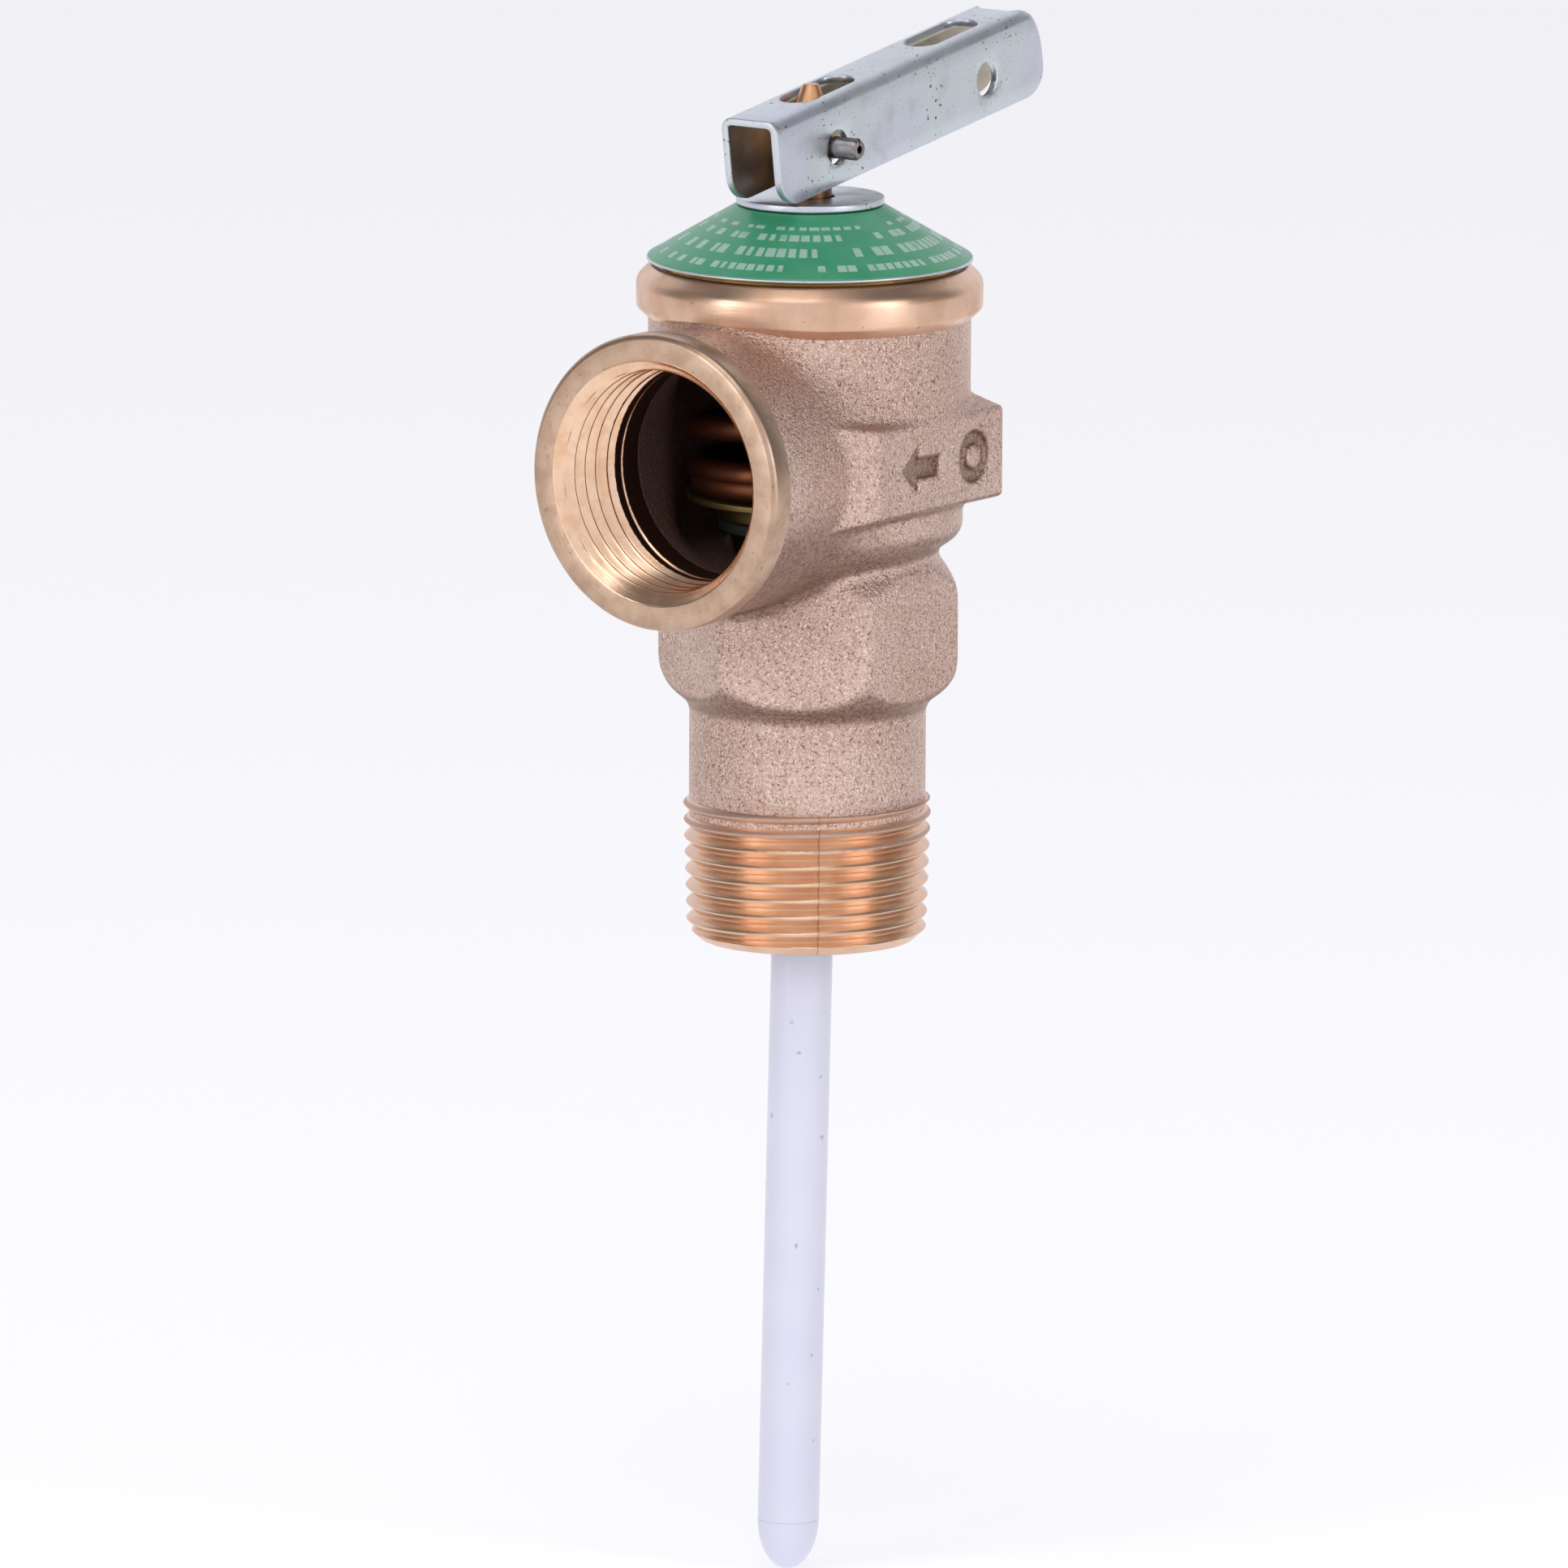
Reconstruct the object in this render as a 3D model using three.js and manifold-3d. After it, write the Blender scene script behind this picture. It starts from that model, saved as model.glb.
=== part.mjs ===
// Temperature and pressure relief valve with a 3/4 inch pipe inlet, a 3/4 inch side outlet,
// a spring loaded disc, a thermostat probe and a manual test lever.
// Millimetres. The origin is on the body's axis at the inlet's end face, +Z runs up the stem,
// and the outlet faces -Y.

import * as THREE from "three";
import { mergeVertices } from "three/addons/utils/BufferGeometryUtils.js";
import Module from "manifold-3d";

const wasm = await Module();
wasm.setup();

// ---- driving dimensions ----

const GAP = 0.1; // clearance between pieces that are fixed together
const RUN = 0.3; // clearance between pieces that move past each other

const PIPE_PITCH = 25.4 / 14; // 3/4 inch taper pipe thread
const PIPE_TAPER = 1 / 32; // change of radius for each unit of length
const INLET_CREST_R = 13.0; // radius over the crests at the end face
const THREAD_DEPTH = 1.1;
const THREAD_TURNS = 8;
const INLET_BORE_R = 9.6;

const NECK_R = 12.84;
const HEX_FLATS = 28.6; // 1 1/8 inch wrench size
const HEX_CORNER_R = 16.1; // corners are rounded by the casting
const HEX_LOW_Z = 30.5;
const HEX_HIGH_Z = 37.5;
const GROOVE_R = 13.6;
const GROOVE_Z = 42.3;
const BARREL_R = 17.47;
const BARREL_Z = 47.5;
const RING_R = 18.8;
const RING_LOW_Z = 69.3;
const RING_TOP_Z = 74.0;

const OUTLET_Z = 53.6;
const OUTLET_FACE_Y = 28.8; // distance from the stem's axis to the outlet's face
const OUTLET_R = 16.1;
const OUTLET_NECK_R = 15.4;
const OUTLET_BAND = 3.0; // turned band behind the outlet's face
const OUTLET_CHAMFER_R = 13.7;
const OUTLET_BORE_R = 12.2;
const OUTLET_THREAD_LENGTH = 13;

const PAD_X = 17.4; // distance from the stem's axis to a pad's face
const PAD_BACK_Y = 12; // from the axis to a pad's rear end
const PAD_FRONT_Y = 11.1; // from the axis to where a pad starts to slope down to the outlet
const PAD_RAMP = THREE.MathUtils.degToRad(33.5);
const PAD_RAMP_DROP = 3;
const PAD_HEIGHT = 9.8; // at the face, and more at the root by the casting's draft
const PAD_DRAFT = 0.27; // growth of the half height for each unit towards the axis
const PAD_Z = 53.5;
const MARK_DEPTH = 0.5; // depth of the marks sunk in the +X pad
const ARROW_Y = -3.5;
const DIMPLE_Y = 6.4;
const DIMPLE_R = 2.8;
const DIMPLE_CORE_R = 1.3;

const SEAT_Z = 44.7;
const SEAT_R = 7.6;
const SEAT_LIP = 1.5;
const CHAMBER_FLOOR_Z = 43.2;
const CHAMBER_LOW_R = 11.8;
const CHAMBER_R = 14.2;
const LEDGE_Z = 70.2; // ledge that the bonnet's flange rests on
const GASKET = 1.1;
const MOUTH_R = 16.2;

const CONE_RIM_R = 17.6;
const CONE_RIM_Z = 74.35;
const CONE_TOP_R = 8.0;
const CONE_RISE = 5.6;
const CONE_SHEET = 0.45;
const WASHER_R = 8.03;
const WASHER_SHEET = 0.8;

const STEM_R = 2.35;
const STEM_TOP_Z = 93.5;
const STEM_TIP_R = 0.8;
const PIN_R = 1.2;
const PIN_BORE_R = 0.42;
const PIN_LENGTH = 13;

const LEVER_WIDTH = 7.3;
const LEVER_SHEET = 0.85;
const LEVER_HEEL = 10.9; // pin to the heel's end
const LEVER_REACH = 39.0; // pin to the free end
const LEVER_BELOW = 4.1; // pin to the flanges' lower edge
const LEVER_ABOVE = 5.7; // pin to the top sheet's upper face
const LEVER_HEEL_R = 3.2;
const LEVER_END_DEPTH = 3.5; // how far back the free end's rounding starts
const LEVER_END_LOW = 2.9; // height of the rounding at the lower edge
const LEVER_END_HIGH = 5.3; // height of the rounding at the upper edge
const LEVER_HOLE_R = 1.9;
const LEVER_FAR_HOLE = 28.3;
const LEVER_SLOT_WIDTH = 4.2;
const LEVER_SLOT_LENGTH = 11.1;
const LEVER_SLOTS = [2.0, 25.4]; // centres of the two slots, from the pin
const LEVER_TILT = THREE.MathUtils.degToRad(8.5);
const HEEL_GAP = 0.35;

const DISC_LOW_Z = 46.3;
const DISC_R = 9.9;
const DISC_FLANGE_R = 13.2;
const DISC_FLANGE_Z = 48.3; // underside of the flange that carries the spring
const DISC_FLANGE_TOP_Z = 49.1;
const DISC_TOP_Z = 51.3;
const DISC_STEP_Z = 50.9; // step in the disc holder's bore that the stem's shoulder rests on
const SEAL_Z = SEAT_Z + RUN;

const SPRING_WIRE_R = 1.35;
const SPRING_COIL_R = 11.9;
const SPRING_TURNS = 5.5;
const SPRING_START = -0.72 * Math.PI; // heading of the lower end of the wire
const SPRING_EASE = 0.85; // how flat the coils lie at both ends
const SPRING_LOW_Z = DISC_FLANGE_TOP_Z + GAP;
const UPPER_SEAT_Z = 74.2;
const SPRING_ROOM_R = SPRING_COIL_R + SPRING_WIRE_R + 0.5;

const PROBE_R = 3.35;
const PROBE_END_Z = -70.4;
const PROBE_CAP = 5.6; // length of the moulded end cap
const PROBE_LEAN = THREE.MathUtils.degToRad(1.1);
const PROBE_LEAN_HEADING = THREE.MathUtils.degToRad(-144.5); // side that the tip leans to
const CASE_R = 2.75;
const CASE_BORE_R = 2.2;
const CASE_TOP_Z = 30;
const COLLAR_Z = 24;
const COLLAR_THICK = 2.4;
const COLLAR_HOLES = 6;

const FINE = 36; // sides of the large round pieces
const SMALL = 24; // sides of the small round pieces

// ---- solids ----

function toSolid(geometry) {
  const bare = geometry.index ? geometry.toNonIndexed() : geometry.clone();
  bare.deleteAttribute("normal");
  bare.deleteAttribute("uv");
  const merged = mergeVertices(bare, 1e-4);
  const mesh = new wasm.Mesh({
    numProp: 3,
    vertProperties: new Float32Array(merged.attributes.position.array),
    triVerts: new Uint32Array(merged.index.array),
  });
  return new wasm.Manifold(mesh);
}

function toGeometry(solid) {
  const mesh = solid.getMesh();
  const geometry = new THREE.BufferGeometry();
  geometry.setAttribute("position", new THREE.BufferAttribute(new Float32Array(mesh.vertProperties), 3));
  geometry.setIndex(new THREE.BufferAttribute(new Uint32Array(mesh.triVerts), 1));
  geometry.computeVertexNormals();
  return geometry;
}

// Turns an outline of [radius, height] points, given in either order, about Z.
function lathe(points, sides = SMALL) {
  const outline = points.map(([r, z]) => new THREE.Vector2(r, z));
  if (THREE.ShapeUtils.area(outline) < 0) {
    outline.reverse();
  }
  const geometry = new THREE.LatheGeometry(outline, sides);
  geometry.rotateX(Math.PI / 2);
  return geometry;
}

function disc(radius, low, high, sides = SMALL) {
  return lathe([[0, low], [radius, low], [radius, high], [0, high]], sides);
}

function ring(inner, outer, low, high, sides = SMALL) {
  return lathe([[inner, low], [outer, low], [outer, high], [inner, high], [inner, low]], sides);
}

function box(sizeX, sizeY, sizeZ, x, y, z) {
  const geometry = new THREE.BoxGeometry(sizeX, sizeY, sizeZ);
  geometry.translate(x, y, z);
  return geometry;
}

// Points of a round stretch of an outline, angles in degrees.
function arc(centreR, centreZ, radius, from, to, steps = 3) {
  const points = [];
  for (let i = 0; i <= steps; i += 1) {
    const angle = THREE.MathUtils.degToRad(from + ((to - from) * i) / steps);
    points.push([centreR + radius * Math.cos(angle), centreZ + radius * Math.sin(angle)]);
  }
  return points;
}

// A prism of a flat outline, extruded along Z.
function prism(points, low, high) {
  const shape = new THREE.Shape(points.map(([x, y]) => new THREE.Vector2(x, y)));
  const geometry = new THREE.ExtrudeGeometry(shape, { depth: high - low, bevelEnabled: false });
  geometry.translate(0, 0, low);
  return geometry;
}

// A prism whose outline lies in the YZ plane, extruded along X.
function crossPrism(points, low, high) {
  const geometry = prism(points, low, high);
  geometry.rotateX(Math.PI / 2);
  geometry.rotateZ(Math.PI / 2);
  return geometry;
}

// ---- materials ----

function material(color, roughness, metalness) {
  return new THREE.MeshStandardMaterial({ color, roughness, metalness });
}

const FINISH = {
  bronze: [0xbe9f8c, 0.55, 0.8],
  brass: [0xc8a060, 0.35, 0.9],
  copper: [0xb5694a, 0.35, 0.9],
  zinc: [0xbcbec8, 0.35, 0.9],
  steel: [0x6e6a6c, 0.3, 1],
  label: [0x3a9168, 0.45, 0.1],
  rubber: [0x1c1c1e, 0.7, 0],
  coating: [0xdcdbee, 0.3, 0],
  wax: [0xe6d9a8, 0.6, 0],
};

function piece(name, geometry, finish) {
  const mesh = new THREE.Mesh(geometry, material(...FINISH[finish]));
  mesh.name = name;
  return mesh;
}

// ---- valve body ----

// Ridges of the inlet's thread, as rings of the pipe thread's pitch on its taper.
function inletThreadOutline() {
  const points = [[0, 0], [INLET_CREST_R - THREAD_DEPTH - 0.3, 0]];
  for (let turn = 0; turn < THREAD_TURNS; turn += 1) {
    const root = 0.35 + turn * PIPE_PITCH;
    const crest = root + PIPE_PITCH / 2;
    points.push([INLET_CREST_R + root * PIPE_TAPER - THREAD_DEPTH, root]);
    points.push([INLET_CREST_R + crest * PIPE_TAPER, crest]);
  }
  const end = 0.35 + THREAD_TURNS * PIPE_PITCH;
  points.push([INLET_CREST_R + end * PIPE_TAPER - THREAD_DEPTH, end]);
  return points;
}

function bodyOutline() {
  return [
    ...inletThreadOutline(),
    [NECK_R, 15.6],
    [NECK_R, 26.0],
    ...arc(NECK_R, HEX_LOW_Z + 0.2, HEX_CORNER_R - NECK_R, -80, 0),
    ...arc(HEX_CORNER_R - 2.6, HEX_HIGH_Z, 2.6, 0, 60),
    ...arc(GROOVE_R + 0.9, GROOVE_Z, 0.9, 225, 135),
    ...arc(BARREL_R - 3, BARREL_Z - 0.6, 3, -60, 0),
    [BARREL_R, RING_LOW_Z - 1.6],
    [BARREL_R + 0.5, RING_LOW_Z - 0.5],
    [RING_R, RING_LOW_Z],
    [RING_R, RING_TOP_Z - 1.3],
    ...arc(RING_R - 1.3, RING_TOP_Z - 1.3, 1.3, 0, 90),
    [0, RING_TOP_Z],
  ];
}

// Corners point along the outlet's axis, so two flats face +X and -X.
function hexagonEnvelope() {
  const corner = HEX_FLATS / Math.sqrt(3);
  const points = [];
  for (let i = 0; i < 6; i += 1) {
    const angle = Math.PI / 2 + (i * Math.PI) / 3;
    points.push([corner * Math.cos(angle), corner * Math.sin(angle)]);
  }
  return toSolid(prism(points, 26.5, GROOVE_Z - 0.6));
}

// The hexagon's zone of the turned outline is cut to the six flats.
function bodyBlank() {
  const turned = toSolid(lathe(bodyOutline(), FINE));
  const zone = toSolid(disc(HEX_CORNER_R + 2, 26.5, GROOVE_Z - 0.6, FINE));
  const hexPart = turned.intersect(zone).intersect(hexagonEnvelope());
  return turned.subtract(zone).add(hexPart);
}

function outletTube() {
  const shoulder = OUTLET_FACE_Y - OUTLET_BAND;
  const geometry = lathe([
    [0, 4],
    [OUTLET_NECK_R, 4],
    [OUTLET_NECK_R, shoulder - 0.6],
    [OUTLET_R, shoulder],
    [OUTLET_R, OUTLET_FACE_Y - 0.5],
    [OUTLET_R - 0.5, OUTLET_FACE_Y],
    [0, OUTLET_FACE_Y],
  ], FINE);
  geometry.rotateX(Math.PI / 2);
  geometry.translate(0, 0, OUTLET_Z);
  return toSolid(geometry);
}

function outletBore() {
  const depth = OUTLET_FACE_Y - OUTLET_THREAD_LENGTH;
  const geometry = lathe([
    [0, 2],
    [OUTLET_BORE_R - 1.4, 2],
    [OUTLET_BORE_R - 1.4, depth - 2.4],
    [OUTLET_BORE_R + 0.6, depth - 2.4],
    [OUTLET_BORE_R + 0.6, depth],
    [OUTLET_BORE_R, depth],
    [OUTLET_BORE_R + OUTLET_THREAD_LENGTH * PIPE_TAPER, OUTLET_FACE_Y - 1.2],
    [OUTLET_CHAMFER_R, OUTLET_FACE_Y],
    [OUTLET_CHAMFER_R, OUTLET_FACE_Y + 2],
    [0, OUTLET_FACE_Y + 2],
  ], FINE);
  geometry.rotateX(Math.PI / 2);
  geometry.translate(0, 0, OUTLET_Z);
  return toSolid(geometry);
}

function bodyCavity() {
  return toSolid(lathe([
    [0, -2],
    [INLET_BORE_R, -2],
    [INLET_BORE_R, 36.5],
    [SEAT_R, 38.5],
    [SEAT_R, SEAT_Z],
    [SEAT_R + SEAT_LIP, SEAT_Z],
    [SEAT_R + SEAT_LIP, CHAMBER_FLOOR_Z],
    [CHAMBER_LOW_R, CHAMBER_FLOOR_Z],
    [CHAMBER_R, CHAMBER_FLOOR_Z + 4],
    [CHAMBER_R, LEDGE_Z],
    [MOUTH_R, LEDGE_Z],
    [MOUTH_R, RING_TOP_Z + 1],
    [0, RING_TOP_Z + 1],
  ], FINE));
}

// The pads on both sides of the barrel, as one bar whose section widens towards the axis.
function pads() {
  const cut = 0.7;
  const tall = PAD_HEIGHT / 2;
  const middle = tall + PAD_X * PAD_DRAFT;
  const rampLength = PAD_RAMP_DROP / Math.tan(PAD_RAMP);
  const section = [
    [0, -middle], [PAD_X - cut, -tall - cut * PAD_DRAFT], [PAD_X, -tall + cut], [PAD_X, tall - cut],
    [PAD_X - cut, tall + cut * PAD_DRAFT], [0, middle], [cut - PAD_X, tall + cut * PAD_DRAFT],
    [-PAD_X, tall - cut], [-PAD_X, -tall + cut], [cut - PAD_X, -tall - cut * PAD_DRAFT],
  ];
  const bar = prism(section, -PAD_BACK_Y, PAD_FRONT_Y + rampLength);
  bar.rotateX(Math.PI / 2);
  const frontX = PAD_X - PAD_RAMP_DROP;
  const plan = [
    [-PAD_X, PAD_BACK_Y], [-PAD_X, -PAD_FRONT_Y], [-frontX, -PAD_FRONT_Y - rampLength],
    [frontX, -PAD_FRONT_Y - rampLength], [PAD_X, -PAD_FRONT_Y], [PAD_X, PAD_BACK_Y],
  ];
  const block = toSolid(bar).intersect(toSolid(prism(plan, -PAD_HEIGHT * 2, PAD_HEIGHT * 2)));
  return block.translate(0, 0, PAD_Z);
}

// Flow arrow sunk in the +X pad, pointing along the outlet.
function flowArrow() {
  const outline = [
    [-3.4, 0], [-0.6, -2.6], [-0.6, -1.1], [3.2, -1.1], [3.2, 1.1], [-0.6, 1.1], [-0.6, 2.6],
  ];
  const geometry = crossPrism(outline, PAD_X - MARK_DEPTH, PAD_X + 1);
  geometry.translate(0, ARROW_Y, PAD_Z);
  return toSolid(geometry);
}

// Round dimple with a raised core, sunk in the +X pad behind the arrow.
function dimple() {
  const low = PAD_X - MARK_DEPTH;
  const geometry = ring(DIMPLE_CORE_R, DIMPLE_R, low, PAD_X + 1);
  geometry.rotateY(Math.PI / 2);
  geometry.translate(0, DIMPLE_Y, PAD_Z);
  return toSolid(geometry);
}

function valveBody() {
  const blank = bodyBlank().add(outletTube()).add(pads());
  const marked = blank.subtract(flowArrow()).subtract(dimple());
  const solid = marked.subtract(bodyCavity()).subtract(outletBore());
  return piece("valve_body", toGeometry(solid), "bronze");
}

// ---- bonnet and nameplate ----

function coneZ(radius) {
  return CONE_RIM_Z + ((CONE_RIM_R - radius) * CONE_RISE) / (CONE_RIM_R - CONE_TOP_R);
}

const CONE_TOP_Z = CONE_RIM_Z + CONE_RISE;
const WASHER_Z = CONE_TOP_Z + CONE_SHEET + GAP;
const WASHER_TOP_Z = WASHER_Z + WASHER_SHEET;
const BUSH_R = 3.9;
const BONNET_TOP_Z = CONE_TOP_Z - GAP;

function bonnet() {
  const flangeLow = LEDGE_Z + GASKET + GAP;
  const flangeTop = RING_TOP_Z - 0.9;
  const slopeR = 15.2;
  const roomTop = UPPER_SEAT_Z + 1.5;
  const roomCorner = 1.15;
  return piece("bonnet", lathe([
    [BUSH_R, roomTop],
    [SPRING_ROOM_R - roomCorner, roomTop],
    [SPRING_ROOM_R, roomTop - roomCorner],
    [SPRING_ROOM_R, flangeLow],
    [MOUTH_R - GAP, flangeLow],
    [MOUTH_R - GAP, flangeTop],
    [slopeR, coneZ(slopeR) - GAP - 0.2],
    [CONE_TOP_R - 0.2, BONNET_TOP_Z],
    [BUSH_R, BONNET_TOP_Z],
    [BUSH_R, roomTop],
  ], FINE), "brass");
}

function bonnetGasket() {
  return piece("bonnet_gasket", ring(CHAMBER_R + GAP, MOUTH_R - GAP, LEDGE_Z + GAP, LEDGE_Z + GASKET, FINE),
    "rubber");
}

function nameplateCone() {
  return piece("nameplate_cone", lathe([
    [3.2, CONE_TOP_Z],
    [CONE_TOP_R, CONE_TOP_Z],
    [CONE_RIM_R, CONE_RIM_Z],
    [CONE_RIM_R + 0.1, CONE_RIM_Z + CONE_SHEET],
    [CONE_TOP_R, CONE_TOP_Z + CONE_SHEET],
    [3.2, CONE_TOP_Z + CONE_SHEET],
    [3.2, CONE_TOP_Z],
  ], 64), "label");
}

function stemBush() {
  return piece("stem_bush", ring(STEM_R + 0.1, BUSH_R - 0.05, UPPER_SEAT_Z + 1.5, BONNET_TOP_Z), "brass");
}

function springUpperSeat() {
  return piece("spring_upper_seat", lathe([
    [STEM_R + 0.9, UPPER_SEAT_Z],
    [SPRING_COIL_R - SPRING_WIRE_R - RUN, UPPER_SEAT_Z],
    [SPRING_COIL_R - SPRING_WIRE_R - RUN, UPPER_SEAT_Z + 0.6],
    [SPRING_COIL_R + 0.5, UPPER_SEAT_Z + 0.6],
    [SPRING_COIL_R + 0.5, UPPER_SEAT_Z + 1.4],
    [STEM_R + 0.9, UPPER_SEAT_Z + 1.4],
    [STEM_R + 0.9, UPPER_SEAT_Z],
  ]), "steel");
}

function topWasher() {
  return piece("top_washer", ring(STEM_R + 0.35, WASHER_R, WASHER_Z, WASHER_TOP_Z, FINE), "zinc");
}

// ---- stem, disc and spring ----

// Height of the pin above the washer when the lever's heel, tilted by an angle, rests on it.
function heelHeight(tilt) {
  const along = (LEVER_HEEL - LEVER_HEEL_R) * Math.sin(tilt);
  const down = (LEVER_BELOW - LEVER_HEEL_R) * Math.cos(tilt);
  return along + down + LEVER_HEEL_R;
}

const PIN_Z = WASHER_TOP_Z + heelHeight(LEVER_TILT) + HEEL_GAP;

function stem() {
  const clipZ = DISC_TOP_Z + 0.6;
  const shank = toSolid(lathe([
    [0, SEAL_Z + 4.2],
    [1.6, SEAL_Z + 4.2],
    [1.6, DISC_STEP_Z + GAP],
    [STEM_R, DISC_STEP_Z + GAP],
    [STEM_R, clipZ],
    [1.75, clipZ],
    [1.75, clipZ + 0.9],
    [STEM_R, clipZ + 0.9],
    [STEM_R, STEM_TOP_Z - 3.2],
    [STEM_TIP_R + 1.0, STEM_TOP_Z - 2.0],
    [STEM_TIP_R, STEM_TOP_Z],
    [0, STEM_TOP_Z],
  ]));
  const crossHole = disc(PIN_R + 0.05, -STEM_R - 1, STEM_R + 1, 20);
  crossHole.rotateY(Math.PI / 2);
  crossHole.translate(0, 0, PIN_Z);
  return piece("stem", toGeometry(shank.subtract(toSolid(crossHole))), "bronze");
}

function leverPin() {
  const half = PIN_LENGTH / 2;
  const geometry = lathe([
    [PIN_BORE_R, -half], [PIN_R - 0.25, -half], [PIN_R, -half + 0.35], [PIN_R, half - 0.35],
    [PIN_R - 0.25, half], [PIN_BORE_R, half], [PIN_BORE_R, -half],
  ], 20);
  geometry.rotateY(Math.PI / 2);
  geometry.translate(0, 0, PIN_Z);
  return piece("lever_pin", geometry, "steel");
}

function stemClip() {
  const low = DISC_TOP_Z + 0.7;
  const clip = toSolid(ring(1.85, 3.6, low, low + 0.7));
  const mouth = toSolid(box(2.4, 6, 4, 0, -3, low));
  return piece("stem_clip", toGeometry(clip.subtract(mouth)), "steel");
}

function discHolder() {
  return piece("disc_holder", lathe([
    [STEM_R + 0.1, DISC_STEP_Z],
    [STEM_R + 0.1, DISC_TOP_Z],
    [DISC_R, DISC_TOP_Z],
    [DISC_R, DISC_FLANGE_TOP_Z],
    [DISC_FLANGE_R, DISC_FLANGE_TOP_Z],
    [DISC_FLANGE_R, DISC_FLANGE_Z],
    [DISC_R, DISC_FLANGE_Z],
    [DISC_R, DISC_LOW_Z],
    [3.6, DISC_LOW_Z],
    [3.6, DISC_LOW_Z + 3.2],
    [1.9, DISC_LOW_Z + 3.2],
    [1.9, DISC_STEP_Z],
    [STEM_R + 0.1, DISC_STEP_Z],
  ], 40), "brass");
}

function seatSeal() {
  return piece("seat_seal", ring(5.2, DISC_R - 0.1, SEAL_Z, DISC_LOW_Z - GAP, 40), "rubber");
}

function sealRetainer() {
  return piece("seal_retainer", lathe([
    [2.1, SEAL_Z - 0.6],
    [6.4, SEAL_Z - 0.6],
    [6.4, SEAL_Z - GAP],
    [5.1, SEAL_Z - GAP],
    [5.1, DISC_LOW_Z - GAP],
    [2.1, DISC_LOW_Z - GAP],
    [2.1, SEAL_Z - 0.6],
  ]), "brass");
}

function retainerNut() {
  const sides = [];
  for (let i = 0; i < 6; i += 1) {
    sides.push([3.4 * Math.cos((i * Math.PI) / 3), 3.4 * Math.sin((i * Math.PI) / 3)]);
  }
  const head = toSolid(prism(sides, SEAL_Z - 2.6, SEAL_Z - 0.7));
  const shank = toSolid(disc(2.0, SEAL_Z - 1.2, DISC_LOW_Z + 2.9));
  return piece("retainer_nut", toGeometry(head.add(shank)), "steel");
}

class Helix extends THREE.Curve {
  constructor(radius, turns, low, high) {
    super();
    Object.assign(this, { radius, turns, low, high });
  }

  // The pitch eases to nothing at both ends, as on a spring with closed ends.
  getPoint(t, target = new THREE.Vector3()) {
    const angle = t * this.turns * 2 * Math.PI + SPRING_START;
    const eased = t - (Math.sin(2 * Math.PI * t) / (2 * Math.PI)) * SPRING_EASE;
    const height = this.low + (this.high - this.low) * eased;
    return target.set(this.radius * Math.cos(angle), this.radius * Math.sin(angle), height);
  }
}

function mainSpring() {
  const low = SPRING_LOW_Z + SPRING_WIRE_R;
  const high = UPPER_SEAT_Z + 0.5 - SPRING_WIRE_R;
  const path = new Helix(SPRING_COIL_R, SPRING_TURNS, low, high);
  const section = new THREE.Shape();
  section.absarc(0, 0, SPRING_WIRE_R, 0, 2 * Math.PI);
  const geometry = new THREE.ExtrudeGeometry(section, {
    steps: 72, curveSegments: 4, bevelEnabled: false, extrudePath: path,
  });
  return piece("main_spring", geometry, "copper");
}

// ---- thermostat ----

// The probe leans a little, so its pieces share a group turned about the collar.
function thermostat() {
  const lean = new THREE.Group();
  lean.position.set(0, 0, COLLAR_Z);
  const leanAxis = new THREE.Vector3(Math.sin(PROBE_LEAN_HEADING), -Math.cos(PROBE_LEAN_HEADING), 0);
  lean.setRotationFromAxisAngle(leanAxis, PROBE_LEAN);
  const local = (z) => z - COLLAR_Z;
  const capTop = local(PROBE_END_Z + PROBE_CAP);
  const sheathTop = local(COLLAR_Z - 3);
  const caseLow = local(PROBE_END_Z + 3.2);
  const caseTop = local(CASE_TOP_Z);
  const end = local(PROBE_END_Z);
  const snug = CASE_BORE_R - 0.05;

  lean.add(piece("probe_sheath", ring(CASE_R + 0.05, PROBE_R, capTop + 0.05, sheathTop), "coating"));
  lean.add(piece("probe_tip", lathe([
    [0, end],
    [0.7, end],
    [1.5, end + 0.4],
    [2.35, end + 1.5],
    [2.95, end + 3.2],
    [PROBE_R, capTop - 0.4],
    [PROBE_R, capTop],
    [CASE_R + 0.1, capTop],
    [CASE_R + 0.1, caseLow - 0.1],
    [0, caseLow - 0.1],
  ]), "coating"));
  lean.add(piece("thermostat_case", lathe([
    [0, caseLow],
    [CASE_R, caseLow],
    [CASE_R, caseTop],
    [CASE_BORE_R, caseTop],
    [CASE_BORE_R, caseLow + 0.8],
    [0, caseLow + 0.8],
  ]), "copper"));
  lean.add(piece("wax_charge", disc(snug, caseLow + 0.9, caseTop - 9.1), "wax"));
  lean.add(piece("thermostat_boot", disc(snug, caseTop - 9, caseTop - 7), "rubber"));
  lean.add(piece("thermostat_guide", lathe([
    [1.15, caseTop - 5],
    [snug, caseTop - 5],
    [snug, caseTop + 0.1],
    [CASE_R, caseTop + 0.1],
    [CASE_R, caseTop + 1.2],
    [1.15, caseTop + 1.2],
    [1.15, caseTop - 5],
  ]), "brass"));
  lean.add(piece("thermostat_plunger", lathe([
    [0, caseTop - 6.9],
    [1.05, caseTop - 6.9],
    [1.05, caseTop + 8.2],
    [2.2, caseTop + 8.2],
    [2.2, caseTop + 9.4],
    [0, caseTop + 9.4],
  ]), "steel"));
  return lean;
}

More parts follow.
